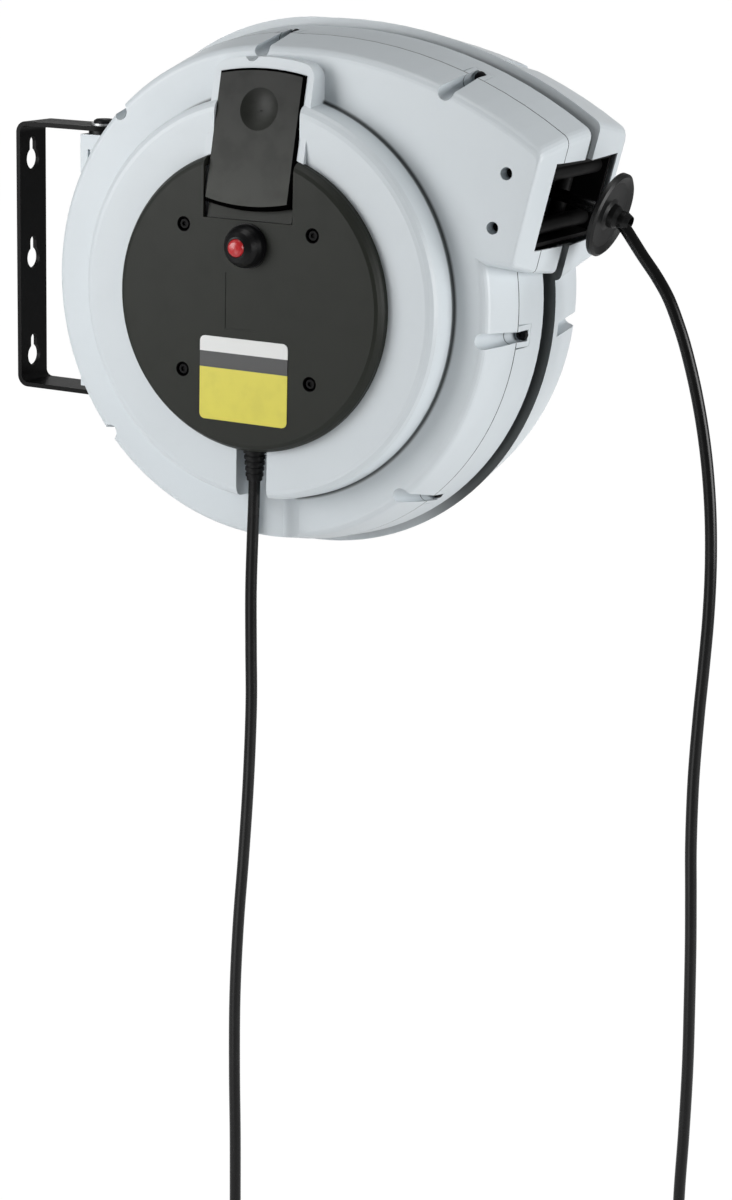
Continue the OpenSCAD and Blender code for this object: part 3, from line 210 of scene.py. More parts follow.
class Signal:
    """A value inside a node tree that can be used in plain arithmetic."""

    def __init__(self, maker: Wiring, socket: bpy.types.NodeSocket) -> None:
        """Keep the socket and the tree it belongs to."""
        self.maker = maker
        self.socket = socket

    def _math(self, operation: str, *values: Any) -> Signal:
        """Add one Math node.

        Args:
            operation: the node's operation.
            values: the values or signals it works on.

        Returns:
            The result as a signal.
        """
        return self.maker.node("ShaderNodeMath", dict(enumerate(values)), operation=operation)

    def __add__(self, other: Any) -> Signal:
        """Sum of two values."""
        return self._math("ADD", self, other)

    __radd__ = __add__

    def __sub__(self, other: Any) -> Signal:
        """Difference of two values."""
        return self._math("SUBTRACT", self, other)

    def __neg__(self) -> Signal:
        """The signal with its sign turned."""
        return self._math("SUBTRACT", 0.0, self)

    def __mul__(self, other: Any) -> Signal:
        """Product of two values."""
        return self._math("MULTIPLY", self, other)

    def __gt__(self, other: Any) -> Signal:
        """One where the signal is larger."""
        return self._math("GREATER_THAN", self, other)

    def __lt__(self, other: Any) -> Signal:
        """One where the signal is smaller."""
        return self._math("LESS_THAN", self, other)

    def size(self) -> Signal:
        """The signal without its sign."""
        return self._math("ABSOLUTE", self)

    def span(self, other: Signal) -> Signal:
        """Distance from the middle, where the two signals are the distances along two axes."""
        return self._math("POWER", self * self + other * other, 0.5)

    def ramp(self, low: float, high: float, out_low: float = 0.0, out_high: float = 1.0) -> Signal:
        """Map a range smoothly on another.

        Args:
            low: value that gives out_low.
            high: value that gives out_high.
            out_low: result at and below low.
            out_high: result at and above high.

        Returns:
            The mapped signal.
        """
        return self.maker.node(
            "ShaderNodeMapRange",
            {"Value": self, "From Min": low, "From Max": high,
             "To Min": out_low, "To Max": out_high},
            interpolation_type="SMOOTHSTEP",
        )

    def held(self) -> Signal:
        """The signal held between 0 and 1."""
        return self.ramp(0.0, 1.0)


class Wiring:
    """Adds nodes to a tree and links them."""

    def __init__(self, tree: bpy.types.NodeTree) -> None:
        """Keep the tree."""
        self.tree = tree

    def node(self, kind: str, inputs: Union[dict[Slot, Any], None] = None,
             output: Slot = 0, **settings: Any) -> Signal:
        """Add any node.

        Args:
            kind: the node's type.
            inputs: value, tuple or signal for each socket, by name or number.
            output: the socket to return, by name or number.
            settings: attributes of the node, which are set first.

        Returns:
            The chosen output as a signal.
        """
        made = self.tree.nodes.new(kind)
        for key, value in settings.items():
            setattr(made, key, value)
        for key, value in (inputs or {}).items():
            self.feed(made.inputs[key], value)
        return Signal(self, made.outputs[output])

    def feed(self, socket: bpy.types.NodeSocket, value: Any) -> None:
        """Set a socket, or link a signal to it."""
        if isinstance(value, Signal):
            self.tree.links.new(value.socket, socket)
        elif isinstance(value, tuple) and socket.type == "RGBA":
            socket.default_value = (*value, 1.0)
        else:
            socket.default_value = value

    def ray(self, kind: Ray) -> Signal:
        """One for rays of a kind, and nothing for the others."""
        return self.node("ShaderNodeLightPath", output=kind.value)


# ---------------------------------------------------------------- materials


@dataclass(frozen=True)
class Noise:
    """Soft noise: how fine it is, and how many finer layers it has."""

    scale: float
    detail: float = 2.0


@dataclass(frozen=True)
class Relief:
    """How strongly a height is seen and how deep it is, in metres."""

    strength: float
    depth: float


class Shading(Wiring):
    """Builds one node material."""

    def __init__(self, name: str) -> None:
        """Make an empty material with its shader and output."""
        self.material = bpy.data.materials.new(name)
        self.material.use_nodes = True
        super().__init__(self.material.node_tree)
        self.shader = self.tree.nodes["Principled BSDF"]

    def place(self, scale: Union[Point, None] = None) -> Signal:
        """Coordinates on the piece, stretched where a scale is given."""
        here = self.node("ShaderNodeTexCoord", output="Object")
        if scale is None:
            return here
        return self.node("ShaderNodeMapping", {"Vector": here, "Scale": scale})

    def axis(self, direction: Axis) -> Signal:
        """One coordinate in metres on the piece."""
        return self.node("ShaderNodeSeparateXYZ", {0: self.place()}, direction.value)

    def across(self) -> Signal:
        """Distance to the right of the drum axis, in metres."""
        return self.axis(Axis.ACROSS) - AXIS_REACH

    def forward(self) -> Signal:
        """Distance in front of the middle of the case, in metres."""
        return -self.axis(Axis.BACK)

    def up(self) -> Signal:
        """Distance above the drum axis, in metres."""
        return self.axis(Axis.UP) - AXIS_RISE

    def noise(self, pattern: Noise, where: Union[Signal, None] = None) -> Signal:
        """Soft noise between 0 and 1."""
        return self.node(
            "ShaderNodeTexNoise",
            {"Vector": where or self.place(), "Scale": pattern.scale, "Detail": pattern.detail},
        )

    def blend(self, factor: Signal, first: Any, second: Any) -> Signal:
        """Mix two colours."""
        return self.node(
            "ShaderNodeMix",
            {MIX_FACTOR: factor, MIX_FIRST_COLOUR: first, MIX_SECOND_COLOUR: second},
            MIX_COLOUR,
            data_type="RGBA",
        )

    def bump(self, height: Signal, relief: Relief) -> Signal:
        """Turn a height into a normal."""
        return self.node(
            "ShaderNodeBump",
            {"Height": height, "Strength": relief.strength, "Distance": relief.depth},
        )

    def overlay(self, mask: Signal, layer: Signal) -> None:
        """Lay another shader over the finish.

        Args:
            mask: where it lies.
            layer: the other shader.
        """
        own = Signal(self, self.shader.outputs[0])
        mixed = self.node("ShaderNodeMixShader", {0: mask, 1: own, 2: layer})
        self.feed(self.tree.nodes["Material Output"].inputs["Surface"], mixed)

    def darken(self, mask: Signal, colour: Colour) -> None:
        """Lay a plain shade without any gloss over the finish.

        Args:
            mask: where the shade lies.
            colour: the shade's colour.
        """
        self.overlay(mask, self.node("ShaderNodeBsdfDiffuse", {"Color": colour}))

    def finish(self, **sockets: Any) -> bpy.types.Material:
        """Set the shader's sockets by name, with underscores for spaces."""
        for key, value in sockets.items():
            self.feed(self.shader.inputs[key.replace("_", " ")], value)
        return self.material


@dataclass(frozen=True)
class Finish:
    """What a piece is made of, under the name of its material."""

    name: str

    def build(self) -> bpy.types.Material:
        """Make the material."""
        raise NotImplementedError


@dataclass(frozen=True)
class MouldedPlastic(Finish):
    """Injection-moulded plastic with a fine spark-eroded grain.

    Attributes:
        colour: the plastic's colour.
        roughness: how dull it is on average.
        grain: noise of the grain.
        relief: height of the grain.
        shine: strength of the plain reflection.
        coat: strength of the clear skin.
        coat_roughness: how dull that skin is.
        mottle: how much the colour varies, half the drop to its darkest.
        cloud: noise of the wide uneven patches.
        cloud_range: noise values between which a patch grows dark.
        cloud_share: how much the patches count.
        dust: noise of the fine specks.
        dust_range: noise values between which a speck grows dark.
        dust_share: how much the specks count.
        dust_roughness: how much the specks change the roughness.
    """

    colour: Colour
    roughness: float = 0.45
    grain: Noise = Noise(900.0)
    relief: Relief = Relief(0.35, 0.00006)
    shine: float = 0.5
    coat: float = 0.0
    coat_roughness: float = 0.25
    mottle: float = 0.04
    cloud: Noise = Noise(9.0, 3.0)
    cloud_range: Range = (0.3, 0.7)
    cloud_share: float = 0.6
    dust: Noise = Noise(60.0, 4.0)
    dust_range: Range = (0.45, 0.75)
    dust_share: float = 0.4
    dust_roughness: float = 0.10

    def _face(self, make: Shading, dust: Signal) -> Signal:
        """Mix the colour of the surface.

        Args:
            make: the material that is being made.
            dust: fine uneven noise.

        Returns:
            The colour.
        """
        cloud = make.noise(self.cloud).ramp(*self.cloud_range) * self.cloud_share
        specks = dust.ramp(*self.dust_range) * self.dust_share
        return make.blend(cloud + specks, self.colour, tinted(self.colour, 1 - 2 * self.mottle))

    def _shade(self, make: Shading) -> None:
        """Lay shades over the finish; plain plastic has none."""

    def build(self) -> bpy.types.Material:
        """Make the material."""
        make = Shading(self.name)
        dust = make.noise(self.dust)
        self._shade(make)
        return make.finish(
            Base_Color=self._face(make, dust),
            Roughness=self.roughness + (dust - 0.5) * self.dust_roughness,
            Specular_IOR_Level=self.shine,
            Coat_Weight=self.coat,
            Coat_Roughness=self.coat_roughness,
            Normal=make.bump(make.noise(self.grain), self.relief),
        )


@dataclass(frozen=True)
class CasePlastic(MouldedPlastic):
    """The light plastic of the case, with its dark parting line and painted shade in the crease
    round the foot of its boss.

    Attributes:
        crease: colour of the dark parting line and of the painted shade at the boss's foot.
        seam: how far forward the parting line lies.
        seam_half: half the width of that line.
        foot: radius at the foot of the boss.
        foot_inside: how far inside that radius the shade begins.
        foot_soft: how far outside it the shade has faded.
        boss_face: how far forward the face lies that the boss rises from.
        boss_range: distances from that face between which the shade fades.
        boss_depth: strength of the shade in the corner.
    """

    colour: Colour = (0.610, 0.657, 0.686)
    roughness: float = 0.40
    grain: Noise = Noise(1100.0)
    relief: Relief = Relief(0.25, 0.00004)
    coat: float = 0.05
    mottle: float = 0.015
    crease: Colour = (0.05, 0.058, 0.06)
    seam: float = 0.038
    seam_half: float = 0.0005
    foot: float = 0.1503
    foot_inside: float = 0.0015
    foot_soft: float = 0.0032
    boss_face: float = 0.075
    boss_range: Range = (0.0012, 0.0045)
    boss_depth: float = 0.85

    def _creases(self, make: Shading) -> Signal:
        """Find where the parting line and the painted shade lie.

        Args:
            make: the material that is being made.

        Returns:
            One in the seams and creases, and nothing on the open faces.
        """
        across, up, forward = make.across(), make.up(), make.forward()
        radius = across.span(up)
        line = (forward - self.seam).size() < self.seam_half
        # Painted shade in the corner at the foot of the boss, where its wall meets the face.
        wall = (radius - self.foot).ramp(0.0, self.foot_soft, 1.0, 0.0)
        outside = radius > self.foot - self.foot_inside
        depth = (forward - self.boss_face).size().ramp(*self.boss_range, self.boss_depth, 0.0)
        return line + wall * outside * depth

    def _face(self, make: Shading, dust: Signal) -> Signal:
        """Lay the parting line and the painted shade over the open faces."""
        return make.blend(self._creases(make).held(), super()._face(make, dust), self.crease)


@dataclass(frozen=True)
class GroovePlastic(CasePlastic):
    """The case plastic of the two shells that meet at the groove, with painted shade inside it.

    The front wall is shaded all round, more to the right. The rear wall is shaded low on the
    right only.

    Attributes:
        wall: the wall of the groove that the finish is for.
        groove: how far from the middle of the case the walls lie.
        front_range: distances across between which the front wall's shade grows.
        front_depth: its strength before and after that.
        rear_range: distances across between which the rear wall's shade begins.
        rear_rise: heights between which it ends.
        rear_depth: its strength low on the right.
    """

    wall: Wall = Wall.FRONT
    groove: float = 0.00412
    front_range: Range = (0.02, 0.09)
    front_depth: Range = (0.55, 1.0)
    rear_range: Range = (0.07, 0.14)
    rear_rise: Range = (0.02, 0.10)
    rear_depth: float = 0.9

    def _creases(self, make: Shading) -> Signal:
        """Add the painted shade of the groove to the seams."""
        seams = super()._creases(make)
        if self.wall is Wall.FRONT:
            # Painted shade on the front wall of the groove, deeper to the right.
            inside = make.forward() < self.groove
            return seams + inside * make.across().ramp(*self.front_range, *self.front_depth)
        # Painted shade on the rear wall of the groove, low on the right only.
        inside = make.forward() > -self.groove
        low = make.up().ramp(*self.rear_rise, self.rear_depth, 0.0)
        return seams + inside * (make.across().ramp(*self.rear_range) * low)


@dataclass(frozen=True)
class CoverPlastic(MouldedPlastic):
    """The dark plastic of the front cover, with black painted shade in the wells of its four
    screws.

    Attributes:
        well: colour of the painted shade inside the wells.
        well_radius: radius of a well.
        well_offset: how far to the side of the drum axis and above or below it each lies.
    """

    well: Colour = (0.002, 0.002, 0.002)
    well_radius: float = 0.0055
    well_offset: float = 0.0537

    def _shade(self, make: Shading) -> None:
        """Paint black shade into the wells."""
        aside = make.across().size() - self.well_offset
        above = make.up().size() - self.well_offset
        make.darken(aside.span(above) < self.well_radius, self.well)


@dataclass(frozen=True)
class SliderPlastic(MouldedPlastic):
    """The slider's dark plastic, paler towards its foot in painted light, with black rims of
    painted shadow.

    Attributes:
        pale: colour of the painted light at the foot.
        fade_range: heights between which it turns into the plastic's own colour.
        fade_share: how much that counts.
        rim: colour of the painted shadow on the rims.
        side: where the rim on the right begins.
        slope_rise: height gained along each metre of the slider.
        waist: height below which the rim of the foot is looked for.
        foot_centre: height of the centre of the foot's arc.
        foot_radius: radius of that arc.
        head_centre: height of the centre of the head's arc.
        head_radius: radius of that arc.
    """

    pale: Colour = (0.034, 0.036, 0.031)
    fade_range: Range = (0.065, 0.17)
    fade_share: float = 0.8
    dust_share: float = 0.2
    rim: Colour = (0.001, 0.001, 0.001)
    side: float = 0.0325
    slope_rise: float = 0.9744
    waist: float = 0.107075
    foot_centre: float = 0.21415
    foot_radius: float = 0.1473
    head_centre: float = -0.0002
    head_radius: float = 0.1704

    def _shade(self, make: Shading) -> None:
        """Paint black shadow on the rims along the right side, the foot and the head."""
        across, up = make.across(), make.up()

        def reach(centre: float) -> Signal:
            """Distance from the centre of an end's arc."""
            return across.span((up - centre) * (1 / self.slope_rise))

        foot = (reach(self.foot_centre) > self.foot_radius) * (up < self.waist)
        head = reach(self.head_centre) > self.head_radius
        make.darken((foot + head + (across > self.side)).held(), self.rim)

    def _face(self, make: Shading, dust: Signal) -> Signal:
        """Paint light at the foot that fades into the plastic's own colour towards the head."""
        fade = make.up().ramp(*self.fade_range) * self.fade_share
        specks = dust.ramp(*self.dust_range) * self.dust_share
        return make.blend(fade + specks, self.pale, self.colour)


@dataclass(frozen=True)
class PowderCoat(Finish):
    """Powder-coated steel with the skin's orange peel.

    Attributes:
        colour: the coat's colour.
        roughness: how dull it is where it is new.
        shine: strength of the plain reflection.
        coat: strength of a clear skin over it.
        coat_roughness: how dull that skin is.
        peel: noise of the orange peel.
        relief: height of the orange peel.
        wear: noise of the worn patches.
        wear_range: noise values between which a patch begins.
        wear_share: how far the colour turns in a patch.
        worn_gain: what the colour is multiplied by where it is worn.
        worn_lift: what is added to it there.
        uneven: how much peel and wear each change the roughness.
    """

    colour: Colour
    roughness: float = 0.38
    shine: float = 0.3
    coat: float = 0.0
    coat_roughness: float = 0.2
    peel: Noise = Noise(420.0, 1.0)
    relief: Relief = Relief(0.35, 0.00012)
    wear: Noise = Noise(35.0, 5.0)
    wear_range: Range = (0.62, 0.78)
    wear_share: float = 0.5
    worn_gain: float = 1.6
    worn_lift: float = 0.01
    uneven: float = 0.08

    def build(self) -> bpy.types.Material:
        """Make the material."""
        make = Shading(self.name)
        peel = make.noise(self.peel)
        wear = make.noise(self.wear).ramp(*self.wear_range)
        worn = tinted(self.colour, self.worn_gain, self.worn_lift)
        return make.finish(
            Base_Color=make.blend(wear * self.wear_share, self.colour, worn),
            Roughness=self.roughness + peel * self.uneven + wear * self.uneven,
            Specular_IOR_Level=self.shine,
            Coat_Weight=self.coat,
            Coat_Roughness=self.coat_roughness,
            Normal=make.bump(peel, self.relief),
        )


@dataclass(frozen=True)
class PlatedMetal(Finish):
    """Plated or bare metal with drawn marks.

    Attributes:
        colour: the metal's colour.
        roughness: how dull it is at least.
        streak: noise of the drawn marks.
        streak_stretch: scale of that noise along the three directions.
        streak_roughness: how much the marks change the roughness.
        relief: height of the marks.
        bloom: noise of the dull patches.
        bloom_range: noise values between which a patch begins.
        bloom_gain: what the colour is multiplied by in a patch.
        bloom_roughness: how much the patches change the roughness.
    """

    colour: Colour
    roughness: float = 0.32
    streak: Noise = Noise(260.0, 3.0)
    streak_stretch: Point = (1.0, 0.08, 1.0)
    streak_roughness: float = 0.12
    relief: Relief = Relief(0.2, 0.00005)
    bloom: Noise = Noise(40.0, 4.0)
    bloom_range: Range = (0.4, 0.7)
    bloom_gain: float = 0.78
    bloom_roughness: float = 0.08

    def build(self) -> bpy.types.Material:
        """Make the material."""
        make = Shading(self.name)
        streak = make.noise(self.streak, make.place(self.streak_stretch))
        bloom = make.noise(self.bloom)
        dull = tinted(self.colour, self.bloom_gain)
        uneven = streak * self.streak_roughness + bloom * self.bloom_roughness
        return make.finish(
            Base_Color=make.blend(bloom.ramp(*self.bloom_range), self.colour, dull),
            Metallic=1.0,
            Roughness=self.roughness + uneven,
            Normal=make.bump(streak, self.relief),
        )


@dataclass(frozen=True)
class SoftRubber(Finish):
    """Black rubber with a dull bloom.

    Attributes:
        colour: the rubber's colour.
        roughness: how dull it is at least.
        shine: strength of the plain reflection.
        skin: noise of the skin.
        relief: height of the skin's unevenness.
        bloom: noise of the bloom.
        bloom_range: noise values between which the bloom begins.
        bloom_share: how far the colour turns in it.
        bloom_gain: what the colour is multiplied by in it.
        bloom_lift: what is added to the colour in it.
        bloom_roughness: how much it changes the roughness.
    """

    colour: Colour
    roughness: float = 0.42
    shine: float = 0.16
    skin: Noise = Noise(700.0)
    relief: Relief = Relief(0.25, 0.00005)
    bloom: Noise = Noise(45.0, 4.0)
    bloom_range: Range = (0.5, 0.8)
    bloom_share: float = 0.6
    bloom_gain: float = 2.1
    bloom_lift: float = 0.004
    bloom_roughness: float = 0.12

    def build(self) -> bpy.types.Material:
        """Make the material."""
        make = Shading(self.name)
        bloom = make.noise(self.bloom)
        share = bloom.ramp(*self.bloom_range) * self.bloom_share
        dusty = tinted(self.colour, self.bloom_gain, self.bloom_lift)
        return make.finish(
            Base_Color=make.blend(share, self.colour, dusty),
            Roughness=self.roughness + bloom * self.bloom_roughness,
            Specular_IOR_Level=self.shine,
            Normal=make.bump(make.noise(self.skin), self.relief),
        )


@dataclass(frozen=True)
class BandedLabel(Finish):
    """A bare label in three plain bands of colour under a clear film.

    Attributes:
        white_end: height at which the white band ends, in the part's frame.
        grey_end: height at which the grey band ends.
        white: colour of the upper band.
        grey: colour of the middle band.
        yellow: colour of the lower band.
        fade: noise of the faded patches.
        fade_range: noise values between which a patch begins.
        fade_gain: what the yellow is multiplied by in a patch.
        roughness: how dull the label is at least.
        fade_roughness: how much the patches change the roughness.
        film: strength of the clear film.
        film_roughness: how dull the film is.
    """

    white_end: float
    grey_end: float
    white: Colour = (0.72, 0.73, 0.72)
    grey: Colour = (0.045, 0.046, 0.047)
    yellow: Colour = (0.66, 0.595, 0.07)
    fade: Noise = Noise(70.0, 3.0)
    fade_range: Range = (0.4, 0.75)
    fade_gain: float = 0.93
    roughness: float = 0.3
    fade_roughness: float = 0.1
    film: float = 0.2
    film_roughness: float = 0.15

    def build(self) -> bpy.types.Material:
        """Make the material."""
        make = Shading(self.name)
        up = make.axis(Axis.UP)
        fade = make.noise(self.fade)
        faded = tinted(self.yellow, self.fade_gain)
        lower = make.blend(fade.ramp(*self.fade_range), self.yellow, faded)
        banded = make.blend(up > self.grey_end, lower, self.grey)
        return make.finish(
            Base_Color=make.blend(up > self.white_end, banded, self.white),
            Roughness=self.roughness + fade * self.fade_roughness,
            Coat_Weight=self.film,
            Coat_Roughness=self.film_roughness,
        )


# ---------------------------------------------------------------- finishes of the reel

COVER_GRAIN = Noise(1300.0)
COVER_RELIEF = Relief(0.35, 0.00005)

LIGHT_SHELL = CasePlastic("light_shell")
LIGHT_BAND = GroovePlastic("light_band", wall=Wall.FRONT)
LIGHT_REAR = GroovePlastic("light_rear", wall=Wall.REAR)
DARK_COVER = CoverPlastic("dark_cover", (0.0160, 0.0178, 0.0140), 0.46, COVER_GRAIN, COVER_RELIEF,
                          shine=0.2, mottle=0.08)
SLIDER_PLASTIC = SliderPlastic("slider_plastic", (0.004, 0.0045, 0.0035), 0.42, COVER_GRAIN,
                               COVER_RELIEF, shine=0.2)
DARK_PLASTIC = MouldedPlastic("dark_plastic", (0.004, 0.0043, 0.0044), 0.38, Noise(1000.0),
                              Relief(0.3, 0.00005), shine=0.25, mottle=0.08)
ROLLER_NYLON = MouldedPlastic("roller_nylon", (0.004, 0.004, 0.004), 0.45, Noise(1600.0),
                              Relief(0.2, 0.00003), shine=0.12, mottle=0.05)
PALE_NYLON = MouldedPlastic("pale_nylon", (0.62, 0.58, 0.47), 0.45, Noise(1400.0),
                            Relief(0.25, 0.00004), mottle=0.05)
RED_BUTTON = MouldedPlastic("red_button", (0.48, 0.014, 0.018), 0.3, Noise(1800.0),
                            Relief(0.15, 0.00002), coat=0.3, mottle=0.05)
BRACKET_COAT = PowderCoat("bracket_coat", (0.0015, 0.0015, 0.0016), 0.42, 0.12)
DRUM_COAT = PowderCoat("drum_coat", (0.05, 0.053, 0.056), 0.45, coat=0.1)
BLACK_ZINC = PowderCoat("black_zinc", (0.002, 0.002, 0.0022), 0.5, 0.12)
ZINC = PlatedMetal("zinc_plate", (0.60, 0.61, 0.62))
BLACK_OXIDE = PlatedMetal("black_oxide", (0.02, 0.02, 0.021), 0.42)
BLUED_SPRING = PlatedMetal("blued_spring", (0.20, 0.23, 0.28), 0.3)
BRASS = PlatedMetal("brass_rings", (0.72, 0.52, 0.22), 0.25)
FLEX_RUBBER = SoftRubber("flex_rubber", (0.0012, 0.0012, 0.0013), 0.2, 0.3)
BOOT_RUBBER = SoftRubber("boot_rubber", (0.003, 0.0031, 0.0035), 0.3, 0.2)
CARBON = SoftRubber("carbon", (0.012, 0.012, 0.012), 0.6)
BANDS = BandedLabel("banded_label", white_end=-0.0361, grey_end=-0.0479)

DRESS: tuple[tuple[Finish, tuple[str, ...]], ...] = (
    (LIGHT_SHELL, ("front_shell",)),
    (LIGHT_BAND, ("middle_band",)),
    (LIGHT_REAR, ("rear_shell",)),
    (DARK_COVER, ("front_cover",)),
    (SLIDER_PLASTIC, ("ratchet_slider",)),
    (DARK_PLASTIC, ("pivot_bushes", "breaker_body", "brush_holder",
                    "supply_plug", "trailing_socket", "cable_stop")),
    (ROLLER_NYLON, ("top_roller", "bottom_roller", "front_roller", "rear_roller",
                    "roller_frame")),
    (PALE_NYLON, ("terminal_block", "drum_bushes", "slip_ring_carrier")),
    (RED_BUTTON, ("reset_button",)),
    (BRACKET_COAT, ("wall_bracket",)),
    (DRUM_COAT, ("drum_front_flange", "drum_rear_flange", "drum_hub", "spring_cassette")),
    (ZINC, ("pivot_washers", "pawl", "pawl_pin", "drum_axle", "axle_nut", "axle_washer",
            "axle_support", "ratchet_ring", "spring_arbor", "roller_pins", "plug_pins")),
    (BLACK_OXIDE, ("pivot_bolts", "flute_screws", "rear_screws")),
    (BLACK_ZINC, ("cover_screws", "mouth_screws")),
    (BLUED_SPRING, ("mainspring",)),
    (BRASS, ("slip_rings",)),
    (BOOT_RUBBER, ("button_boot", "supply_gland")),
    (CARBON, ("brushes",)),
    (FLEX_RUBBER, ("supply_cord", "outlet_cord", "wound_cable", "wound_cable_core")),
    (BANDS, ("rating_label",)),
)


@dataclass
class Wardrobe:
    """Keeps each finish as one material and dresses the pieces in it."""

    made: dict[str, bpy.types.Material] = field(default_factory=dict)

    def material(self, finish: Finish) -> bpy.types.Material:
        """The material of a finish, made once."""
        if finish.name not in self.made:
            self.made[finish.name] = finish.build()
        return self.made[finish.name]

    def dress(self, piece: bpy.types.Object, finish: Finish) -> None:
        """Give a piece one finish all over."""
        piece.data.materials.clear()
        piece.data.materials.append(self.material(finish))

    def dress_nodes(self, nodes: dict[str, bpy.types.Object]) -> None:
        """Dress every solid of the part.

        Args:
            nodes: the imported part's objects by name.
        """
        for finish, names in DRESS:
            for name in names:
                self.dress(nodes[name], finish)
        LOG.info("dressed %d solids", sum(len(names) for _, names in DRESS))


# ---------------------------------------------------------------- studio

REEL_MIDDLE: Point = (0.27, 0.0, 0.0)
WHITE: Colour = (1.0, 1.0, 1.0)


@dataclass(frozen=True)
class Lamp:
    """One soft square lamp that faces the reel: its name, place, side and watts."""

    name: str
    at: Point
    size: float
    power: float

    def hang(self) -> None:
        """Hang the lamp in its place."""
        data = bpy.data.lights.new(self.name, "AREA")
        data.size = self.size
        data.energy = self.power
        lamp = bpy.data.objects.new(self.name, data)
        bpy.context.scene.collection.objects.link(lamp)
        facing = Vector(REEL_MIDDLE) - Vector(self.at)
        turn = facing.to_track_quat("-Z", "Y").to_matrix().to_4x4()
        lamp.matrix_world = Matrix.Translation(Vector(self.at)) @ turn


LAMPS = (
    Lamp("left_front", (-0.9, -1.5, 0.3), 1.1, 23.2),
    Lamp("left_high", (-1.2, -1.8, 1.8), 1.5, 11.3),
    Lamp("right_side", (2.8, 0.2, 0.2), 1.5, 52.0),
    Lamp("overhead", (0.3, 0.0, 2.6), 1.5, 17.2),
    Lamp("back_fill", (-0.9, 2.6, -0.3), 1.8, 14.0),
    Lamp("low_front", (0.1, -1.3, -0.9), 0.9, 4.5),
)


@dataclass(frozen=True)
class Camera:
    """The camera: its place, the directions to its right and top, and its lens."""

    at: Point = (1.2635, -1.8236, 0.3122)
    right: Point = (0.8834, 0.4680, 0.0252)
    up: Point = (-0.1429, 0.2178, 0.9655)
    lens: float = 134.74
    sensor: float = 36.0
    sight: float = 100.0

    def stand(self) -> None:
        """Stand the camera where the reel is seen from."""
        data = bpy.data.cameras.new("camera")
        data.sensor_fit = "HORIZONTAL"
        data.sensor_width = self.sensor
        data.lens = self.lens
        data.clip_end = self.sight
        camera = bpy.data.objects.new("camera", data)
        bpy.context.scene.collection.objects.link(camera)
        right = Vector(self.right).normalized()
        up = Vector(self.up)
        up = (up - up.dot(right) * right).normalized()
        back = right.cross(up)
        turn = Matrix((right, up, back)).transposed()
        camera.matrix_world = Matrix.Translation(Vector(self.at)) @ turn.to_4x4()
        bpy.context.scene.camera = camera


@dataclass(frozen=True)
class Floor:
    """The pale floor, which the camera sees as good as white.

    Attributes:
        height: height of the floor.
        size: length of its side.
        grey: how pale it is.
        roughness: how dull it is.
        glow: brightness of the white that is mixed in.
        seen_share: how much of that white the camera sees.
        mirrored_share: how much of it the part mirrors.
    """

    height: float = -1.02
    size: float = 60.0
    grey: float = 0.9
    roughness: float = 0.9
    glow: float = 1.02
    seen_share: float = 0.985
    mirrored_share: float = 0.2

    def lay(self) -> None:
        """Lay the floor under the part."""
        bpy.ops.object.select_all(action="DESELECT")
        bpy.ops.mesh.primitive_plane_add(
            size=self.size, location=(REEL_MIDDLE[0], REEL_MIDDLE[1], self.height)
        )
        floor = bpy.context.active_object
        floor.name = "studio_floor"
        make = Shading("studio_floor")
        make.finish(Base_Color=(self.grey, self.grey, self.grey), Roughness=self.roughness)
        seen = make.ray(Ray.CAMERA) * self.seen_share
        mirrored = make.ray(Ray.GLOSSY) * self.mirrored_share
        make.overlay(
            seen + mirrored,
            make.node("ShaderNodeEmission", {"Color": WHITE, "Strength": self.glow}),
        )
        floor.data.materials.append(make.material)


@dataclass(frozen=True)
class Sky:
    """The even light from all round: its level, and what some kinds of rays see instead."""

    level: float = 0.11
    seen: tuple[tuple[Ray, float], ...] = (
        (Ray.GLOSSY, 0.22), (Ray.TRANSMISSION, 1.0), (Ray.CAMERA, 1.0),
    )

    def spread(self) -> None:
        """Light the part softly from all round."""
        scene = bpy.context.scene
        scene.view_settings.view_transform = "Standard"
        scene.world = bpy.data.worlds.new("studio")
        scene.world.use_nodes = True
        make = Wiring(scene.world.node_tree)
        level: Any = self.level
        for kind, strength in self.seen:
            level = make.node("ShaderNodeMix", {
                MIX_FACTOR: make.ray(kind), MIX_FIRST_NUMBER: level, MIX_SECOND_NUMBER: strength,
            })
        background = make.tree.nodes["Background"]
        make.feed(background.inputs["Color"], WHITE)
        make.feed(background.inputs["Strength"], level)


@dataclass(frozen=True)
class Studio:
    """Camera, floor, sky and lamps."""

    camera: Camera = Camera()
    floor: Floor = Floor()
    sky: Sky = Sky()
    lamps: tuple[Lamp, ...] = LAMPS

    def build(self) -> None:
        """Set everything up round the part."""
        self.camera.stand()
        self.floor.lay()
        self.sky.spread()
        for lamp in self.lamps:
            lamp.hang()


# ---------------------------------------------------------------- cords

SUPPLY_ROUTE: tuple[Point, ...] = (
    (0, -134, 96), (-0.3, -155, 96), (-0.9, -178, 96), (-1.6, -220, 96), (-0.8, -265, 96),
    (0.1, -310, 96), (-1.4, -370, 96), (-4.6, -430, 96), (-8.6, -490, 96), (-10.7, -550, 96),
    (-10.3, -610, 96), (-8.7, -670, 96), (-7.8, -730, 96), (-7, -780, 96), (-6.4, -830, 96),
    (-6, -880, 96),
)

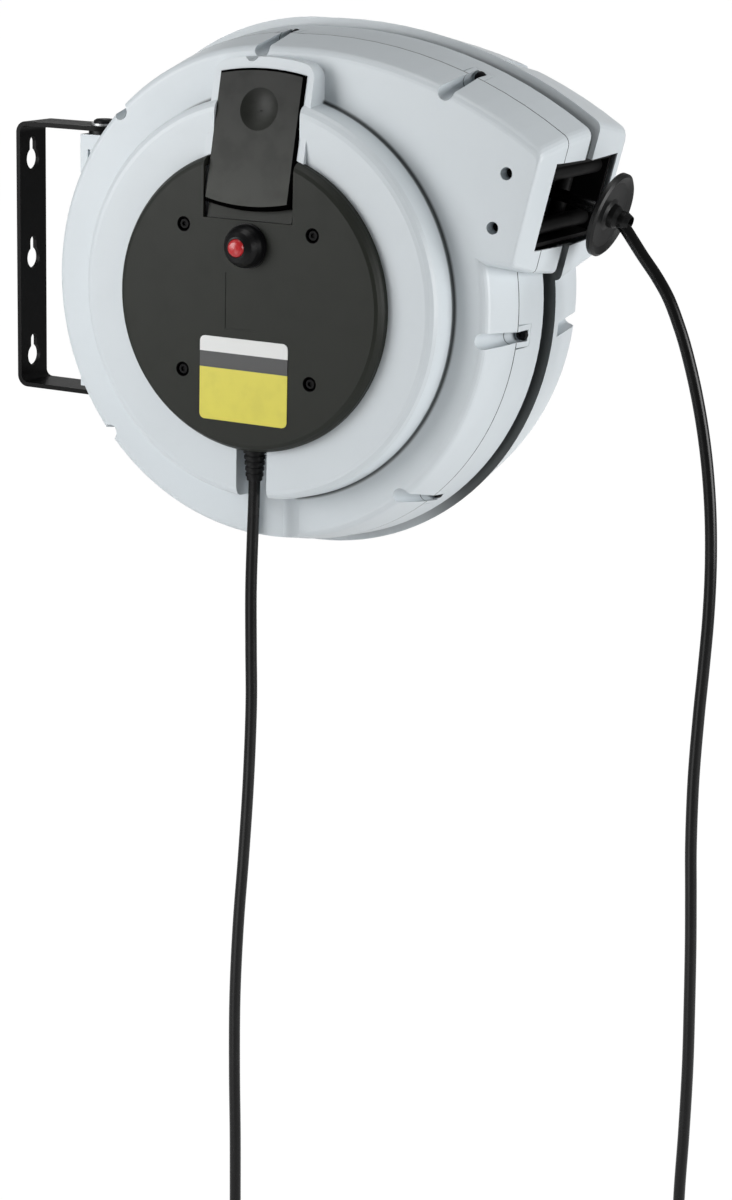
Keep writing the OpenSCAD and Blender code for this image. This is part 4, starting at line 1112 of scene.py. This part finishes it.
OUTLET_ROUTE: tuple[Point, ...] = (
    (81.9, 112.6, -9.8), (105, 106.8, -9.2), (130, 100.6, -8), (155, 93.6, -6.6),
    (180, 86.6, -5.4), (205, 80.3, -5), (218, 76.8, -5), (229, 73.5, -5),
    (237, 69.8, -5), (244.5, 63.8, -5), (251.6, 55, -5), (260.2, 44, -5), (271.4, 30.5, -5),
    (281.6, 15.5, -5), (290.4, -3, -5), (297.1, -20, -5), (305.4, -46, -5), (312.8, -75, -5),
    (318.7, -106, -5), (323, -140, -5), (325.4, -177, -5), (325.8, -215, -5), (324.6, -253, -5),
    (322.9, -292, -5), (321.8, -340, -5), (322.8, -390, -5), (325.1, -430, -5), (327.4, -472, -5),
    (329.3, -520, -5), (330.8, -570, -5), (330.9, -625, -5), (330.2, -680, -5), (332, -730, -5),
    (334, -780, -5),
)


@dataclass(frozen=True)
class Cords:
    """The two leads and the cable on the drum.

    Attributes:
        diameter: thickness of the cable.
        lead_roundness: how finely the section of a lead is cut.
        winding_roundness: how finely the section of the winding is cut.
        winding_radius: radius of the outer layer's centre line.
        winding_drop: how far inside that the inner layer lies.
        winding_turns: turns in each layer.
        winding_start: angle of the first turn, in degrees.
        turn_steps: points on each turn.
        drum_back: how far forward the rear flange lies.
        drum_width: width between the flanges.
        merge_within: points closer than this become one.
        soft_angle: largest angle that is shaded smooth, in degrees.
    """

    diameter: float = 0.009
    lead_roundness: int = 5
    winding_roundness: int = 4
    winding_radius: float = 0.130
    winding_drop: float = 0.0095
    winding_turns: int = 9
    winding_start: float = 69.0
    turn_steps: int = 36
    drum_back: float = -0.060
    drum_width: float = 0.110
    merge_within: float = 0.00001
    soft_angle: float = 50.0

    def build(self, nodes: dict[str, bpy.types.Object], wardrobe: Wardrobe) -> None:
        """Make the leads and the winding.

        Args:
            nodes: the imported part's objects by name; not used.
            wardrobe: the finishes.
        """
        supply = self._lead("supply_lead", SUPPLY_ROUTE)
        outlet = self._lead("outlet_lead", OUTLET_ROUTE)
        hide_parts("supply_cord")
        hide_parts("outlet_cord")
        winding = self._winding()
        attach(winding, Body.DRUM.value)
        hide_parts("wound_cable", "wound_cable_core")
        for piece in (supply, outlet, winding):
            wardrobe.dress(piece, FLEX_RUBBER)
        LOG.info("cords made")

    def _tube(self, name: str, line: Sequence[Vector], roundness: int) -> bpy.types.Object:
        """Make a round tube along points, as a closed mesh.

        Args:
            name: the piece's name.
            line: the centre line.
            roundness: how finely the section is cut.

        Returns:
            The tube.
        """
        data = bpy.data.curves.new(name, "CURVE")
        data.dimensions = "3D"
        data.bevel_depth = self.diameter / 2
        data.bevel_resolution = roundness
        data.use_fill_caps = True
        spline = data.splines.new("POLY")
        spline.points.add(len(line) - 1)
        for slot, point in zip(spline.points, line):
            slot.co = (*point, 1.0)
        piece = bpy.data.objects.new(name, data)
        bpy.context.scene.collection.objects.link(piece)
        pick(piece)
        bpy.ops.object.convert(target="MESH")
        tube = bpy.context.active_object
        bpy.ops.object.mode_set(mode="EDIT")
        bpy.ops.mesh.select_all(action="SELECT")
        bpy.ops.mesh.remove_doubles(threshold=self.merge_within)
        bpy.ops.mesh.normals_make_consistent(inside=False)
        bpy.ops.object.mode_set(mode="OBJECT")
        bpy.ops.object.shade_smooth_by_angle(angle=math.radians(self.soft_angle))
        return tube

    def _lead(self, name: str, route: Sequence[Point]) -> bpy.types.Object:
        """Args:
            name: the piece's name.
            route: its points from the drum axis.

        Returns:
            The lead.
        """
        line = smooth_route([reel_point(*p) for p in route])
        piece = self._tube(name, line, self.lead_roundness)
        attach(piece, Body.CASE.value)
        route_length(line)
        return piece

    def _winding(self) -> bpy.types.Object:
        """Wind the cable on the drum, an outer layer over an inner one.

        Returns:
            The winding as one mesh.
        """
        pitch = (self.drum_width - 2 * self.diameter) / self.winding_turns
        count = self.winding_turns * self.turn_steps
        start = math.radians(self.winding_start)
        line: list[Vector] = []
        for layer, radius in enumerate((self.winding_radius - self.winding_drop,
                                        self.winding_radius)):
            for i in range(count + 1):
                along = i if layer else count - i
                angle = start - i * 2 * math.pi / self.turn_steps
                depth = self.drum_back + self.diameter + pitch * along / self.turn_steps
                line.append(reel_point(
                    MILLIMETRES * radius * math.cos(angle),
                    MILLIMETRES * radius * math.sin(angle),
                    MILLIMETRES * depth,
                ))
        return self._tube("drum_winding", line, self.winding_roundness)


# ---------------------------------------------------------------- slider


@dataclass(frozen=True)
class SliderSeat:
    """The bed under the slider and the two bars beside it, all on the case.

    Starts, ends and tops are measured up the slope and out of it, from the slider's foot.

    Attributes:
        slope: lean of the slider, in degrees.
        foot_up: height of its foot above the drum axis.
        foot_forward: how far in front of the middle of the case its foot lies.
        bed_half: half the width of the bed.
        bed_start: lower end of the bed.
        bed_end: upper end of the bed.
        bed_top: face of the bed.
        bed_thick: thickness of the bed.
        bed_round: rounding of its edges.
        bed_segments: facets in that rounding.
        bar_inner: distance of a bar from the middle.
        bar_width: width of a bar.
        bar_start: lower end of a bar.
        bar_end: upper end of a bar.
        bar_top: face of a bar.
        bar_depth: how far a bar reaches in below its face.
        bar_round: rounding of the edges round its face.
        bar_segments: facets in that rounding.
        top_within: edges closer than this to the face belong to it.
        soft_angle: largest angle that is shaded smooth, in degrees.
    """

    slope: float = 13.0
    foot_up: float = 0.068
    foot_forward: float = 0.114
    bed_half: float = 0.0352
    bed_start: float = -0.0067
    bed_end: float = 0.040
    bed_top: float = -0.00606
    bed_thick: float = 0.0002
    bed_round: float = 0.00005
    bed_segments: int = 2
    bar_inner: float = 0.0361
    bar_width: float = 0.0050
    bar_start: float = 0.0385
    bar_end: float = 0.0600
    bar_top: float = -0.0012
    bar_depth: float = 0.0060
    bar_round: float = 0.0012
    bar_segments: int = 4
    top_within: float = 0.0001
    soft_angle: float = 35.0

    def build(self, wardrobe: Wardrobe) -> None:
        """Make the pieces and dress them.

        Args:
            wardrobe: the finishes.
        """
        bed = self._bed()
        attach(bed, Body.CASE.value)
        wardrobe.dress(bed, DARK_COVER)
        for name, side in (("slider_bar_left", Side.LEFT), ("slider_bar_right", Side.RIGHT)):
            bar = self._bar(name, side)
            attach(bar, Body.CASE.value)
            wardrobe.dress(bar, LIGHT_SHELL)
        LOG.info("slider seat made")

    def _frame(self) -> Matrix:
        """The place of the slider's slope: x across, y up the slope, z out of its face."""
        lean = math.radians(self.slope)
        across = Vector((1.0, 0.0, 0.0))
        along = Vector((0.0, math.sin(lean), math.cos(lean)))
        turn = Matrix((across, along, across.cross(along))).transposed().to_4x4()
        foot = Vector((AXIS_REACH, -self.foot_forward, AXIS_RISE + self.foot_up))
        return Matrix.Translation(foot) @ turn

    def _block(self, name: str, low: Point, high: Point) -> bpy.types.Object:
        """Add one block between two corners, in the slope's own directions.

        Args:
            name: the piece's name.
            low: the lower corner.
            high: the upper corner.

        Returns:
            The block, its size in its mesh.
        """
        middle = tuple((a + b) / 2 for a, b in zip(low, high))
        bpy.ops.object.select_all(action="DESELECT")
        bpy.ops.mesh.primitive_cube_add(size=1.0, location=middle)
        block = bpy.context.active_object
        block.name = name
        block.scale = tuple(b - a for a, b in zip(low, high))
        bpy.ops.object.transform_apply(location=True, rotation=True, scale=True)
        return block

    def _bed(self) -> bpy.types.Object:
        """Lay the thin bed that the slider's foot runs over.

        Returns:
            The bed.
        """
        bed = self._block("slider_bed",
                          (-self.bed_half, self.bed_start, self.bed_top - self.bed_thick),
                          (self.bed_half, self.bed_end, self.bed_top))
        bpy.ops.object.mode_set(mode="EDIT")
        bpy.ops.mesh.select_all(action="SELECT")
        bpy.ops.mesh.bevel(offset=self.bed_round, segments=self.bed_segments, affect="EDGES")
        bpy.ops.object.mode_set(mode="OBJECT")
        settle(bed, self._frame())
        return bed

    def _bar(self, name: str, side: Side) -> bpy.types.Object:
        """Raise one bar beside the slider, its top edges rounded.

        Args:
            name: the piece's name.
            side: the side of the slider that it stands on.

        Returns:
            The bar.
        """
        left, right = sorted((side.value * self.bar_inner,
                              side.value * (self.bar_inner + self.bar_width)))
        bar = self._block(name, (left, self.bar_start, self.bar_top - self.bar_depth),
                          (right, self.bar_end, self.bar_top))
        for edge in bar.data.edges:
            first, second = (bar.data.vertices[i].co for i in edge.vertices)
            edge.select = min(first.z, second.z) > self.bar_top - self.top_within
        bpy.ops.object.mode_set(mode="EDIT")
        bpy.ops.mesh.select_mode(type="EDGE")
        bpy.ops.mesh.bevel(offset=self.bar_round, segments=self.bar_segments, affect="EDGES")
        bpy.ops.object.mode_set(mode="OBJECT")
        bpy.ops.object.shade_smooth_by_angle(angle=math.radians(self.soft_angle))
        settle(bar, self._frame())
        return bar


def main() -> None:
    """Load the part, dress it and light it."""
    logging.basicConfig(level=logging.INFO, format="%(name)s: %(message)s")
    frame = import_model()
    bpy.ops.object.select_all(action="DESELECT")
    wardrobe = Wardrobe()
    Studio().build()
    Cords().build(frame["nodes"], wardrobe)
    wardrobe.dress_nodes(frame["nodes"])
    SliderSeat().build(wardrobe)


if __name__ == "__main__":
    main()
